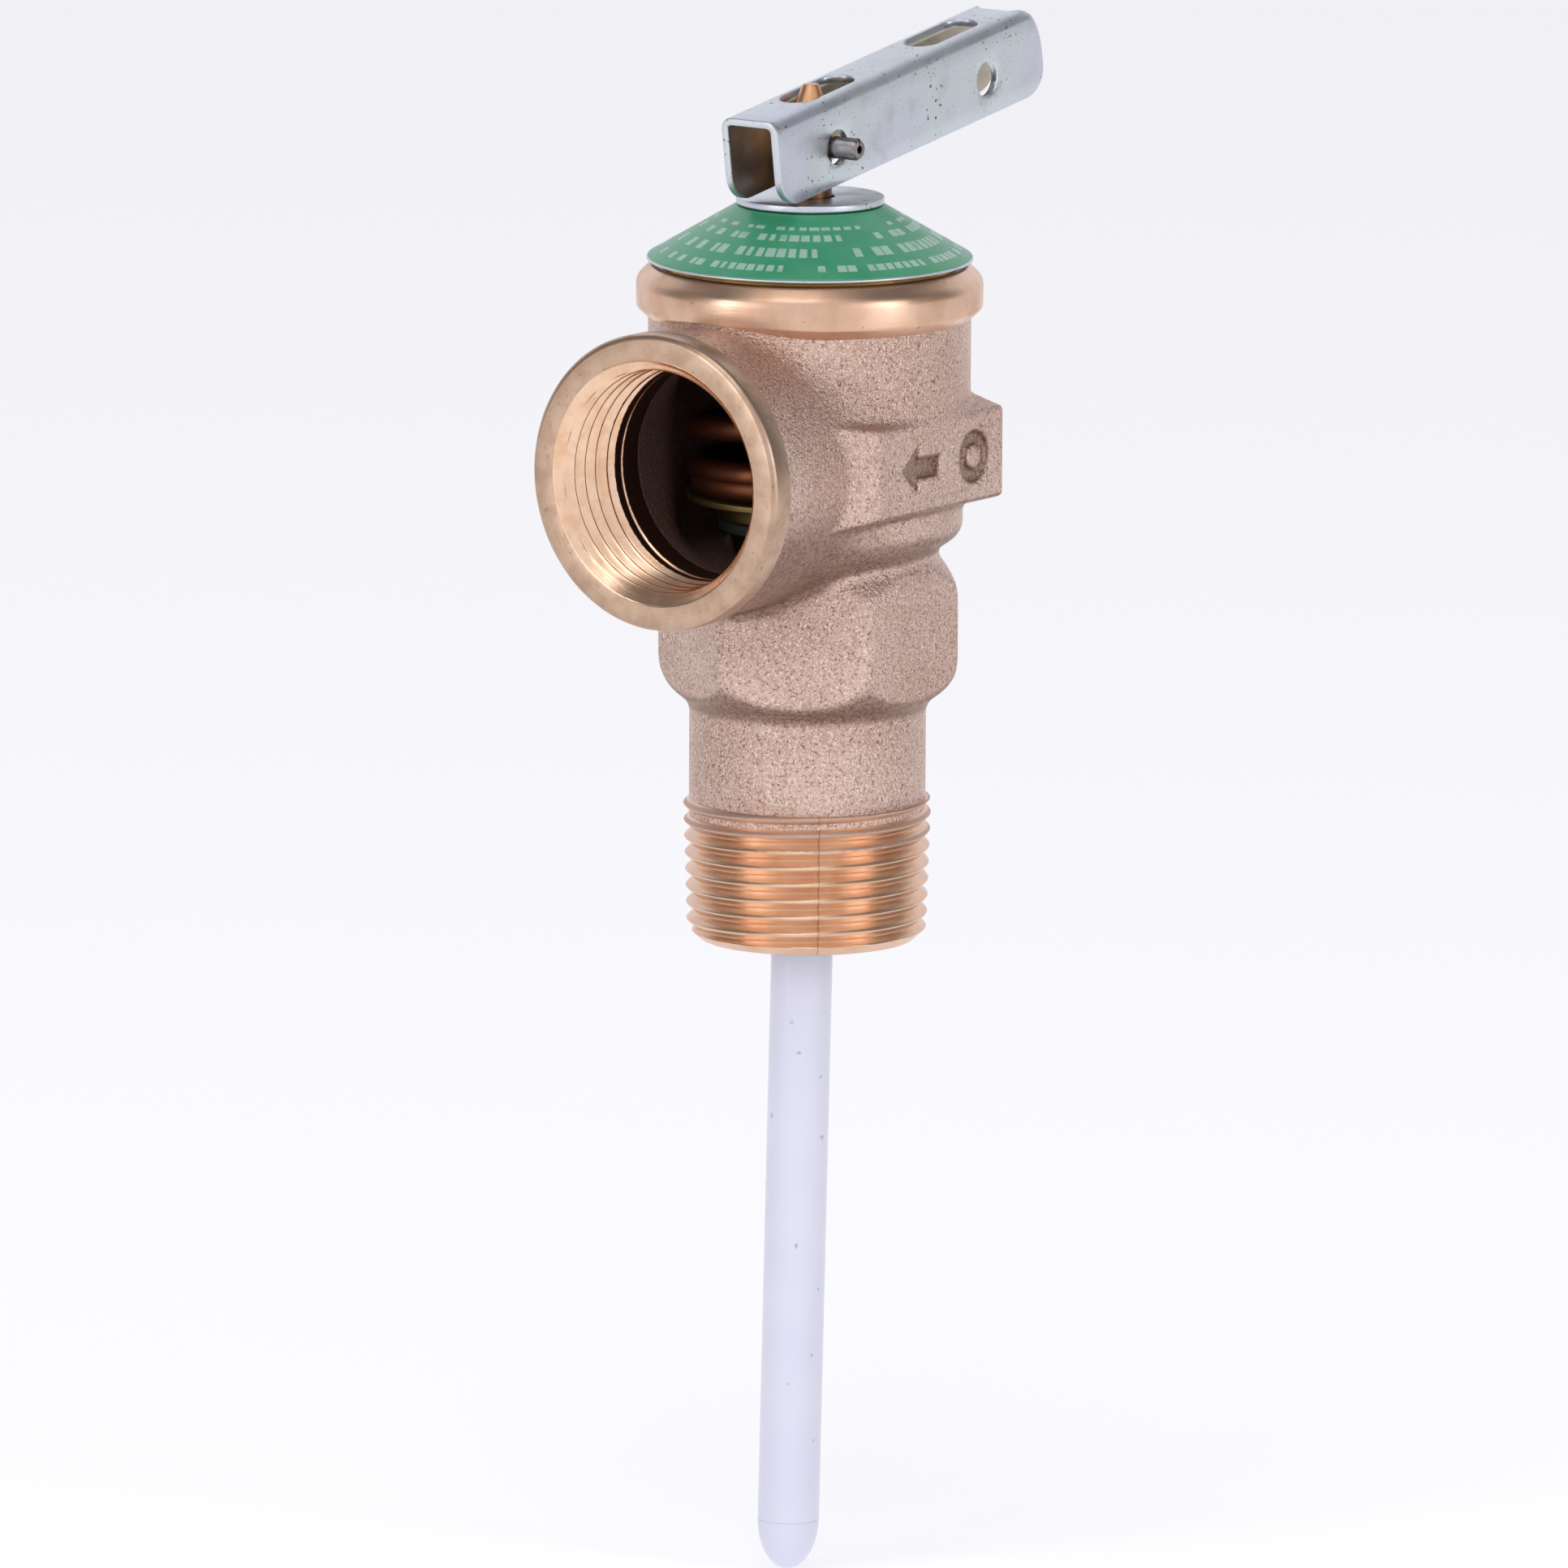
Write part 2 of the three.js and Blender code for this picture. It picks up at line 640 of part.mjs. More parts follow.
function thermostatCollar() {
  let solid = toSolid(lathe([
    [CASE_R + 0.1, COLLAR_Z],
    [INLET_BORE_R - GAP, COLLAR_Z],
    [INLET_BORE_R - GAP, COLLAR_Z + COLLAR_THICK],
    [4.4, COLLAR_Z + COLLAR_THICK],
    [4.4, COLLAR_Z + 4.4],
    [CASE_R + 0.1, COLLAR_Z + 4.4],
    [CASE_R + 0.1, COLLAR_Z],
  ], FINE));
  for (let i = 0; i < COLLAR_HOLES; i += 1) {
    const angle = (i * 2 * Math.PI) / COLLAR_HOLES;
    const hole = disc(1.8, COLLAR_Z - 1, COLLAR_Z + COLLAR_THICK + 1, 16);
    hole.translate(6.6 * Math.cos(angle), 6.6 * Math.sin(angle), 0);
    solid = solid.subtract(toSolid(hole));
  }
  return piece("thermostat_collar", toGeometry(solid), "brass");
}

function collarRing() {
  const low = COLLAR_Z - GAP - 0.9;
  const whole = toSolid(ring(INLET_BORE_R - 1.4, INLET_BORE_R - GAP, low, low + 0.9));
  const mouth = toSolid(box(4, 4, 3, INLET_BORE_R, 0, low));
  return piece("collar_ring", toGeometry(whole.subtract(mouth)), "steel");
}

// ---- lever ----

// Side outline in the lever's own frame: x runs from the pin to the free end, y up.
function leverSide() {
  const top = LEVER_ABOVE;
  const endX = LEVER_REACH - LEVER_END_DEPTH;
  const shape = new THREE.Shape();
  shape.moveTo(-LEVER_HEEL, top);
  shape.lineTo(-LEVER_HEEL, -LEVER_BELOW + LEVER_HEEL_R);
  shape.absarc(-LEVER_HEEL + LEVER_HEEL_R, -LEVER_BELOW + LEVER_HEEL_R, LEVER_HEEL_R,
    Math.PI, Math.PI * 1.5);
  shape.lineTo(endX, -LEVER_BELOW);
  shape.absellipse(endX, -LEVER_BELOW + LEVER_END_LOW, LEVER_END_DEPTH, LEVER_END_LOW, -Math.PI / 2, 0);
  shape.lineTo(LEVER_REACH, top - LEVER_END_HIGH);
  shape.absellipse(endX, top - LEVER_END_HIGH, LEVER_END_DEPTH, LEVER_END_HIGH, 0, Math.PI / 2);
  return shape;
}

function leverBar() {
  const geometry = new THREE.ExtrudeGeometry(leverSide(), {
    depth: LEVER_WIDTH, curveSegments: 6, bevelEnabled: false,
  });
  geometry.translate(0, 0, -LEVER_WIDTH / 2);
  return toSolid(geometry);
}

function slotCut(centre) {
  const radius = LEVER_SLOT_WIDTH / 2;
  const reach = LEVER_SLOT_LENGTH / 2 - radius;
  const shape = new THREE.Shape();
  shape.absarc(centre + reach, 0, radius, -Math.PI / 2, Math.PI / 2);
  shape.absarc(centre - reach, 0, radius, Math.PI / 2, Math.PI * 1.5);
  const geometry = new THREE.ExtrudeGeometry(shape, {
    depth: 6, curveSegments: 8, bevelEnabled: false,
  });
  geometry.rotateX(-Math.PI / 2);
  geometry.translate(0, LEVER_ABOVE - 3, 0);
  return toSolid(geometry);
}

function crossCut(centre) {
  const geometry = new THREE.CylinderGeometry(LEVER_HOLE_R, LEVER_HOLE_R, LEVER_WIDTH * 2, 24);
  geometry.rotateX(Math.PI / 2);
  geometry.translate(centre, 0, 0);
  return toSolid(geometry);
}

function testLever() {
  const low = -LEVER_BELOW - 1;
  const high = LEVER_ABOVE - LEVER_SHEET;
  const length = 2 * (LEVER_HEEL + LEVER_REACH);
  const channel = box(length, high - low, LEVER_WIDTH - 2 * LEVER_SHEET, 0, (low + high) / 2, 0);
  let solid = leverBar().subtract(toSolid(channel));
  for (const centre of LEVER_SLOTS) {
    solid = solid.subtract(slotCut(centre));
  }
  solid = solid.subtract(crossCut(0)).subtract(crossCut(LEVER_FAR_HOLE));
  const mesh = piece("test_lever", toGeometry(solid), "zinc");
  mesh.rotation.set(Math.PI / 2, 0, 0);

  const tilt = new THREE.Group();
  tilt.rotation.set(0, -LEVER_TILT, 0);
  tilt.add(mesh);
  const pivot = new THREE.Group();
  pivot.position.set(0, 0, PIN_Z);
  pivot.rotation.set(0, 0, Math.PI / 2);
  pivot.add(tilt);
  return pivot;
}

// ---- assembly ----

const valve = new THREE.Group();
valve.add(valveBody());
valve.add(bonnet());
valve.add(bonnetGasket());
valve.add(nameplateCone());
valve.add(stemBush());
valve.add(springUpperSeat());
valve.add(topWasher());
valve.add(stem());
valve.add(leverPin());
valve.add(stemClip());
valve.add(discHolder());
valve.add(seatSeal());
valve.add(sealRetainer());
valve.add(retainerNut());
valve.add(mainSpring());
valve.add(thermostatCollar());
valve.add(collarRing());
valve.add(thermostat());
valve.add(testLever());

export default valve;
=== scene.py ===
"""Looks of the temperature and pressure relief valve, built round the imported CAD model.

Lengths are millimetres in the CAD's frame, up to the stage; solid() turns them into metres.
"""

import itertools
import math

import bmesh
import bpy
import numpy as np
from mathutils import Matrix, Vector
from mathutils.geometry import delaunay_2d_cdt


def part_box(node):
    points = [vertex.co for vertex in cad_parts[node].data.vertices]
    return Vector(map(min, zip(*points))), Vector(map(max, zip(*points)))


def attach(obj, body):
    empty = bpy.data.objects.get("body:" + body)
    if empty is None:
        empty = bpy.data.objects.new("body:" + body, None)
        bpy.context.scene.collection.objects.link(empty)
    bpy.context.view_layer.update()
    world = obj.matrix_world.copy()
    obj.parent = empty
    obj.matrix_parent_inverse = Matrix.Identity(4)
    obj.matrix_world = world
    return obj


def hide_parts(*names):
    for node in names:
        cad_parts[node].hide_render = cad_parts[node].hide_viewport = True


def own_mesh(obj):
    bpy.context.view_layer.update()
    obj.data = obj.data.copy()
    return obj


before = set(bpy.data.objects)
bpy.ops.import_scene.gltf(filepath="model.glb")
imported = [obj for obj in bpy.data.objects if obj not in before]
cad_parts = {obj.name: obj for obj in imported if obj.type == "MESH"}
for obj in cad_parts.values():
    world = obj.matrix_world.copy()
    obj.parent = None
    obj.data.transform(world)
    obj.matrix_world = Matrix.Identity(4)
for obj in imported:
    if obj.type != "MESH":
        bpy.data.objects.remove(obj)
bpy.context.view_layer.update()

MM = 0.001


def node_box(node):
    """Lowest and highest corner of a CAD node, in millimetres."""
    low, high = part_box(node)
    return np.array(low) / MM, np.array(high) / MM


# ---- sizes read from the frame ----

BODY_LOW, BODY_HIGH = node_box("valve_body")
CONE_LOW, CONE_HIGH = node_box("nameplate_cone")
WASHER_LOW, WASHER_HIGH = node_box("top_washer")
STEM_LOW, STEM_HIGH = node_box("stem")
PIN_LOW, PIN_HIGH = node_box("lever_pin")
SHEATH_HIGH = node_box("probe_sheath")[1]
TIP_LOW, TIP_HIGH = node_box("probe_tip")
DISC_LOW, DISC_HIGH = node_box("disc_holder")
SEAL_LOW, SEAL_HIGH = node_box("seat_seal")
SPRING_LOW, SPRING_HIGH = node_box("main_spring")

RING_R = BODY_HIGH[0]
TOP_Z = BODY_HIGH[2]
OUTLET_FACE = -BODY_LOW[1]
PIN_Z = (PIN_LOW[2] + PIN_HIGH[2]) / 2
PIN_R = (PIN_HIGH[2] - PIN_LOW[2]) / 2
STEM_R = 2.35

# ---- driving sizes of the shapes that the frame doesn't name ----

# inlet: taper pipe thread, 14 to the inch
PITCH = 25.4 / 14
TAPER = 1 / 32
CREST_R = 13.0
THREAD_DEPTH = 0.85
INLET_LENGTH = 15.4
CORE_R = 10.8  # hidden wall behind the thread
BORE_R = 9.6
JOINT_HEADING = math.radians(41.2)  # of the mould's joint line on the thread

# casting, from the neck up
NECK_R = 12.84
NECK_LOW = 13.3
HEX_FLATS = 28.6
HEX_R = 16.5  # over the hexagon's turned corners
HEX_LOW, HEX_HIGH = 26.2, 42.1
GROOVE_R = 13.6
SHOULDER_R, SHOULDER_LOW = 16.7, 43.7
BARREL_R = 17.47
BARREL_LOW, BARREL_HIGH = 49.5, 71

# outlet: its distances run outward along -Y
OUTLET_Z = 53.6
OUTLET_R = 16.1
TUBE_R = 15.5
RIM_LENGTH = 3.4
SOCKET_R = 12.15
SOCKET_MOUTH_R = 13.3
SOCKET_DEPTH = 0.95
SOCKET_LENGTH = 13.4
SOCKET_WALL_R = 14.6  # hidden wall behind the thread
SOCKET_START = 0.3  # where the helix begins, as a share of a turn
SOCKET_SUNK = 0.05  # the thread starts this far inside the rim's face
PASSAGE_R = 11.75

# inside
THROAT_R = 7.6
SEAT_R, SEAT_Z = 9.2, 44.7
CHAMBER_R = 14.2
CHAMBER_LOW, CHAMBER_HIGH = 43.4, 70.2
COVER_R = 16.2  # recess that takes the bonnet

# pads and the marks sunk in the right one
PAD_X = 17.4
PAD_Y = -3
PAD_HALF_LENGTH, PAD_HALF_HEIGHT = 15.0, 4.9
PAD_DRAFT = 0.27
PAD_RAMP = math.radians(33.5)  # the pads' front ends slope down to the outlet tube
RAMP_Y = -11.1
MARK_DEPTH = 0.65
ARROW_Y, DIMPLE_Y = -3.5, 6.4
DIMPLE_R, DIMPLE_CORE_R = 2.8, 1.3

# lever, along its channel from the pin and across it
LEVER_TILT = math.radians(8.5)
LEVER = {"heel": 10.9, "reach": 39.0, "below": 4.1, "above": 5.7, "width": 7.3, "sheet": 0.85}
HEEL_CORNER = 3.2
FRONT_CORNER = (3.5, 2.9)
FRONT_ROUND = 5.3  # how far down the front's top corner is rounded
SLOTS, SLOT_WIDTH, SLOT_LENGTH = (2.0, 25.4), 4.2, 11.1
CROSS_HOLES, CROSS_HOLE_R = (0, 28.3), 1.9

# the blank at the middle of its sheet
BEND_R = 0.95
WEB_TOP = LEVER["above"] - LEVER["sheet"] / 2
WEB_HALF = (LEVER["width"] - LEVER["sheet"]) / 2
WEB_FLAT = WEB_HALF - BEND_R
BEND_END = WEB_FLAT + BEND_R * math.pi / 2

# main spring, probe and disc holder
WIRE_R = 1.35
SPRING_TURNS = 5.5
SPRING_START = -0.72 * math.pi
SPRING_EASE = 0.85  # how flat the coils lie at both ends
PROBE_R = 3.35
SHEATH_BORE_R = 2.8
COLLAR_Z = 24.0  # the probe leans about this height
CUP_R = 9.9
HUB_R = 3.6


# ---- mesh tools ----


def add_object(name, data):
    obj = bpy.data.objects.new(name, data)
    bpy.context.scene.collection.objects.link(obj)
    return obj


def solid(name, verts, faces, material, sharp=40, body="body"):
    """A smooth shaded mesh object from vertices in millimetres, riding on a CAD body."""
    mesh = bpy.data.meshes.new(name)
    mesh.from_pydata((np.asarray(verts, float) * MM).tolist(), [], [list(map(int, f)) for f in faces])
    mesh.validate()
    obj = add_object(name, mesh)
    mesh.materials.append(material)
    tidy_mesh(mesh)
    shade(mesh, sharp)
    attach(obj, body)
    return obj


def tidy_mesh(mesh):
    """Welds points that coincide and turns all faces outward."""
    bm = bmesh.new()
    bm.from_mesh(mesh)
    bmesh.ops.remove_doubles(bm, verts=bm.verts, dist=1e-7)
    bmesh.ops.recalc_face_normals(bm, faces=bm.faces)
    bm.to_mesh(mesh)
    bm.free()


def shade(mesh, sharp):
    """Smooth shading, sharp at edges over some degrees."""
    mesh.polygons.foreach_set("use_smooth", [True] * len(mesh.polygons))
    mesh.set_sharp_from_angle(angle=math.radians(sharp))


def join(name, parts):
    """One object from several closed solids of the same piece."""
    bpy.ops.object.select_all(action="DESELECT")
    for part in parts:
        part.select_set(True)
    bpy.context.view_layer.objects.active = parts[0]
    bpy.ops.object.join()
    parts[0].name = name
    return parts[0]


def rounded(points, steps=5):
    """An outline whose corners (r, z, radius) are replaced by arcs. It closes on itself."""
    result = []
    count = len(points)
    for i, (r, z, radius) in enumerate(points):
        here = np.array([r, z], float)
        before = np.array(points[i - 1][:2], float)
        after = np.array(points[(i + 1) % count][:2], float)
        if radius <= 0:
            result.append(tuple(here))
            continue
        to_before = (before - here) / np.linalg.norm(before - here)
        to_after = (after - here) / np.linalg.norm(after - here)
        half = math.acos(np.clip(to_before @ to_after, -1, 1)) / 2
        reach = radius / math.tan(half)
        inward = to_before + to_after
        centre = here + inward / np.linalg.norm(inward) * radius / math.sin(half)
        first = here + to_before * reach - centre
        last = here + to_after * reach - centre
        turn = math.atan2(first[0] * last[1] - first[1] * last[0], first @ last)
        for k in range(steps + 1):
            angle = turn * k / steps
            c, s = math.cos(angle), math.sin(angle)
            spoke = (c * first[0] - s * first[1], s * first[0] + c * first[1])
            result.append((centre[0] + spoke[0], centre[1] + spoke[1]))
    return result


def turned(profile, sides=128):
    """Vertices and faces of a closed (r, z) outline turned about Z."""
    profile = np.array(profile)
    angles = np.arange(sides) * 2 * math.pi / sides
    verts = np.stack([
        profile[:, None, 0] * np.cos(angles),
        profile[:, None, 0] * np.sin(angles),
        np.repeat(profile[:, 1:2], sides, axis=1),
    ], axis=-1).reshape(-1, 3)
    faces = []
    count = len(profile)
    for i in range(count):
        j = (i + 1) % count
        if profile[i, 0] < 1e-6 and profile[j, 0] < 1e-6:
            continue
        for k in range(sides):
            m = (k + 1) % sides
            faces.append((i * sides + k, i * sides + m, j * sides + m, j * sides + k))
    return verts, faces


def lathe(name, corners, material, body="body", sides=128):
    """A turned piece from (r, z, corner radius) corners."""
    verts, faces = turned(rounded(corners), sides)
    return solid(name, verts, faces, material, body=body)


def on_outlet(points):
    """Turns +Z to -Y and lifts the axis to the outlet's height."""
    turn = np.array([[1, 0, 0], [0, 0, -1], [0, 1, 0]])
    return points @ turn.T + (0, 0, OUTLET_Z)


def thread_wave(z, turn):
    """Depth of a pipe thread, 0 on the crest and 1 in the root, a turn share round the helix."""
    wave = (z / PITCH - turn) % 1
    flank = np.abs(2 * wave - 1)
    return 0.45 * flank + 0.55 * (0.5 - 0.5 * np.cos(np.pi * flank))


def inlet_radius(z, turn):
    """Taper thread on the outside, with a chamfer at the end face."""
    thread = CREST_R + z * TAPER - THREAD_DEPTH * thread_wave(z, turn)
    chamfer = CREST_R - 1.3 + z * 1.1
    return np.minimum(thread, chamfer)


def outlet_radius(z, turn):
    """Taper thread on the inside that runs out in the cast bore."""
    thread = SOCKET_R - z * TAPER + SOCKET_DEPTH * thread_wave(z, turn + SOCKET_START)
    run_out = np.maximum(z - 7.2, 0) * 0.24
    mouth = SOCKET_MOUTH_R - z * 1.3
    return np.maximum(np.maximum(thread - run_out, mouth), PASSAGE_R)


def thread_sleeve(length, radius_at, hidden_r, sides=176, per_turn=24):
    """A closed sleeve from z = 0 to length, with a plain hidden wall at the radius hidden_r.

    Its rows follow the helix, so the flanks stay crisp.
    """
    turns = int(math.ceil(length / PITCH)) + 2
    rows = turns * per_turn
    phase = np.arange(rows) / per_turn
    grid = []
    for k in range(sides + 1):
        turn = k / sides
        z = np.clip((phase - 1 + turn) * PITCH, 0, length)
        radius = radius_at(z, turn)
        angle = 2 * math.pi * turn
        grid.append(np.stack([radius * math.cos(angle), radius * math.sin(angle), z], axis=1))
    bm = bmesh.new()
    made = [[bm.verts.new(point) for point in column] for column in grid]
    for column, beside in zip(made, made[1:]):
        for row in range(rows - 1):
            corners = (column[row], beside[row], beside[row + 1], column[row + 1])
            height = max((corners[0].co - corners[3].co).length, (corners[1].co - corners[2].co).length)
            if height > 1e-6:
                bm.faces.new(corners)
    bmesh.ops.remove_doubles(bm, verts=bm.verts, dist=1e-4)
    bmesh.ops.delete(bm, geom=[v for v in bm.verts if not v.link_faces], context="VERTS")
    grown = bmesh.ops.extrude_edge_only(bm, edges=[e for e in bm.edges if e.is_boundary])
    for item in grown["geom"]:
        if isinstance(item, bmesh.types.BMVert):
            angle = math.atan2(item.co.y, item.co.x)
            item.co.x = hidden_r * math.cos(angle)
            item.co.y = hidden_r * math.sin(angle)
    bmesh.ops.bridge_loops(bm, edges=[e for e in bm.edges if e.is_boundary])
    bm.verts.index_update()
    points = np.array([v.co for v in bm.verts])
    polygons = [[v.index for v in face.verts] for face in bm.faces]
    bm.free()
    return points, polygons


# ---- the cast shell as a smooth field ----


def blend_min(a, b, k):
    """Union of two fields with a fillet about k wide."""
    h = np.maximum(k - np.abs(a - b), 0) / k
    return np.minimum(a, b) - h * h * k / 4


def blend_max(a, b, k):
    """Overlap of two fields with a rounded edge about k wide."""
    return -blend_min(-a, -b, k)


def drum(r, z, radius, low, high, edge):
    """Distance to a cylinder about the axis with rounded edges."""
    dr = np.abs(r) - radius + edge
    dz = np.abs(z - (low + high) / 2) - (high - low) / 2 + edge
    outside = np.hypot(np.maximum(dr, 0), np.maximum(dz, 0))
    return outside + np.minimum(np.maximum(dr, dz), 0) - edge


def slab(x, y, z, half, edge):
    """Distance to a rounded box of half sizes about the origin."""
    d = [np.abs(a) - h + edge for a, h in zip((x, y, z), half)]
    outside = np.sqrt(sum(np.maximum(a, 0) ** 2 for a in d))
    return outside + np.minimum(np.maximum(np.maximum(d[0], d[1]), d[2]), 0) - edge


def hexagon(x, y):
    """Distance to the six wrench flats, with corners along the outlet's axis."""
    half = HEX_FLATS / 2
    distance = None
    for angle in (0, math.pi / 3, 2 * math.pi / 3):
        one = np.abs(x * math.cos(angle) + y * math.sin(angle)) - half
        distance = one if distance is None else blend_max(distance, one, 0.25)
    return distance


def pad_marks(x, y, z):
    """Flow arrow and round dimple sunk in the right pad. The arrow points to the outlet."""
    along = y - ARROW_Y
    across = np.abs(z - OUTLET_Z)
    tail = np.maximum(np.abs(along - 1.3) - 1.9, across - 1.1)
    head = np.maximum((across - (along + 3.4) * 0.93) * 0.73, along + 0.6)
    away = np.hypot(y - DIMPLE_Y, z - OUTLET_Z)
    dimple = np.maximum(away - DIMPLE_R, DIMPLE_CORE_R - away)
    flat = np.minimum(np.minimum(tail, head), dimple)
    return np.maximum(flat, PAD_X - MARK_DEPTH - x)


def lower_field(x, y, r, z):
    """Neck, hexagon and the groove above it."""
    neck = drum(r, z, NECK_R, NECK_LOW, 43, 0.3)
    core = drum(r, z, 11.4, 0.35, 20, 0.2)
    hexed = blend_max(drum(r, z, HEX_R, HEX_LOW, HEX_HIGH, 5.0), hexagon(x, y), 0.6)
    groove = drum(r, z, GROOVE_R, 38, 47, 0.5)
    stem = blend_min(blend_min(neck, core, 0.2), hexed, 1.6)
    return blend_min(stem, groove, 2.2)


def upper_field(x, y, r, z):
    """Barrel with its shoulder, and the outlet tube."""
    shoulder = drum(r, z, SHOULDER_R, SHOULDER_LOW, 60, 2.4)
    barrel = drum(r, z, BARREL_R, BARREL_LOW, BARREL_HIGH, 1.5)
    tube = drum(np.hypot(x, z - OUTLET_Z), -y, TUBE_R, 2, OUTLET_FACE - 2.6, 0.5)
    return blend_min(blend_min(shoulder, barrel, 1.6), tube, 3.6)


def pad_field(x, y, z):
    """Two flat pads at the sides, drafted above and below, with sloped front ends."""
    lift = np.abs(z - OUTLET_Z) - np.maximum(PAD_X - np.abs(x), 0) * PAD_DRAFT
    half = (PAD_X, PAD_HALF_LENGTH, PAD_HALF_HEIGHT)
    pads = slab(x, y - PAD_Y, np.maximum(lift, 0), half, 0.5)
    ramp = (np.abs(x) - PAD_X) * math.cos(PAD_RAMP) - (y - RAMP_Y) * math.sin(PAD_RAMP)
    return blend_max(pads, ramp, 0.2)


def cavity_field(x, y, r, z):
    """Inlet bore, throat, spring chamber with a raised seat, outlet passage and socket."""
    inlet = drum(r, z, BORE_R, -9, 37.5, 0.5)
    throat = drum(r, z, THROAT_R, 30, 48, 0.1)
    floor = drum(r, z, CHAMBER_R, CHAMBER_LOW, CHAMBER_HIGH, 2.6)
    seat = drum(r, z, SEAT_R, 40, SEAT_Z, 0.3)
    chamber = blend_max(floor, -seat, 0.3)
    mouth = drum(r, z, COVER_R, CHAMBER_HIGH, 90, 0.2)
    away = np.hypot(x, z - OUTLET_Z)
    passage = drum(away, -y, PASSAGE_R, 2, 30, 0.3)
    socket = drum(away, -y, 14.3, OUTLET_FACE - 13.2, 60, 0.1)
    result = np.minimum(np.minimum(inlet, throat), np.minimum(chamber, mouth))
    return np.minimum(blend_min(result, passage, 2.0), socket)


def cast_field(x, y, z):
    """Distance to the whole casting, without the turned threads, rim and ring."""
    r = np.hypot(x, y)
    outer = blend_min(upper_field(x, y, r, z), lower_field(x, y, r, z), 2.0)
    outer = blend_min(outer, pad_field(x, y, z), 0.5)
    outer = blend_max(outer, -pad_marks(x, y, z), 0.25)
    return blend_max(outer, -cavity_field(x, y, r, z), 0.5)


def surface_nets(field, low, high, step):
    """Vertices and quads of a field's zero surface, pulled onto the exact surface."""
    axes = [np.arange(a, b + step, step) for a, b in zip(low, high)]
    grid = np.meshgrid(*axes, indexing="ij")
    value = field(*grid).astype(np.float32)
    inside = value < 0
    shape = [n - 1 for n in value.shape]
    count = np.zeros(shape, np.int8)
    for i, j, k in itertools.product((0, 1), repeat=3):
        count += inside[i:i + shape[0], j:j + shape[1], k:k + shape[2]]
    cells = np.argwhere((count > 0) & (count < 8))
    index = np.full(shape, -1, np.int64)
    index[tuple(cells.T)] = np.arange(len(cells))
    total = np.zeros((len(cells), 3))
    hits = np.zeros(len(cells))
    for axis in range(3):
        for a, b in itertools.product((0, 1), repeat=2):
            start = np.insert([a, b], axis, 0)
            end = np.insert([a, b], axis, 1)
            f0 = value[tuple((cells + start).T)]
            f1 = value[tuple((cells + end).T)]
            cross = (f0 < 0) != (f1 < 0)
            t = f0[cross] / (f0[cross] - f1[cross])
            point = np.repeat(start[None].astype(float), cross.sum(), axis=0)
            point[:, axis] = t
            total[cross] += point
            hits[cross] += 1
    verts = np.array(low) + (cells + total / hits[:, None]) * step
    quads = []
    for axis in range(3):
        ahead = [slice(None)] * 3
        behind = [slice(None)] * 3
        ahead[axis] = slice(1, None)
        behind[axis] = slice(None, -1)
        first = inside[tuple(behind)]
        edge = np.argwhere(first != inside[tuple(ahead)])
        u, v = [(1, 2), (2, 0), (0, 1)][axis]
        keep = np.ones(len(edge), bool)
        for other in (u, v):
            keep &= (edge[:, other] > 0) & (edge[:, other] < inside.shape[other] - 1)
        edge = edge[keep]
        corners = []
        for du, dv in ((-1, -1), (0, -1), (0, 0), (-1, 0)):
            shifted = edge.copy()
            shifted[:, u] += du
            shifted[:, v] += dv
            corners.append(index[tuple(shifted.T)])
        quad = np.stack(corners, axis=1)
        flip = ~first[tuple(edge.T)]
        quad[flip] = quad[flip][:, ::-1]
        quads.append(quad)
    return pull_on(field, verts, step), np.concatenate(quads)


def pull_on(field, verts, step):
    """Moves points along the field's slope until they lie on its zero surface."""
    reach = 0.02
    for _ in range(3):
        x, y, z = verts.T
        value = field(x, y, z)
        slope = np.stack([
            (field(x + reach, y, z) - field(x - reach, y, z)) / (2 * reach),
            (field(x, y + reach, z) - field(x, y - reach, z)) / (2 * reach),
            (field(x, y, z + reach) - field(x, y, z - reach)) / (2 * reach),
        ], axis=1)
        size = np.maximum((slope ** 2).sum(axis=1), 0.25)
        move = -slope * (value / size)[:, None]
        verts = verts + np.clip(move, -step / 2, step / 2)
    return verts


# ---- material tools ----


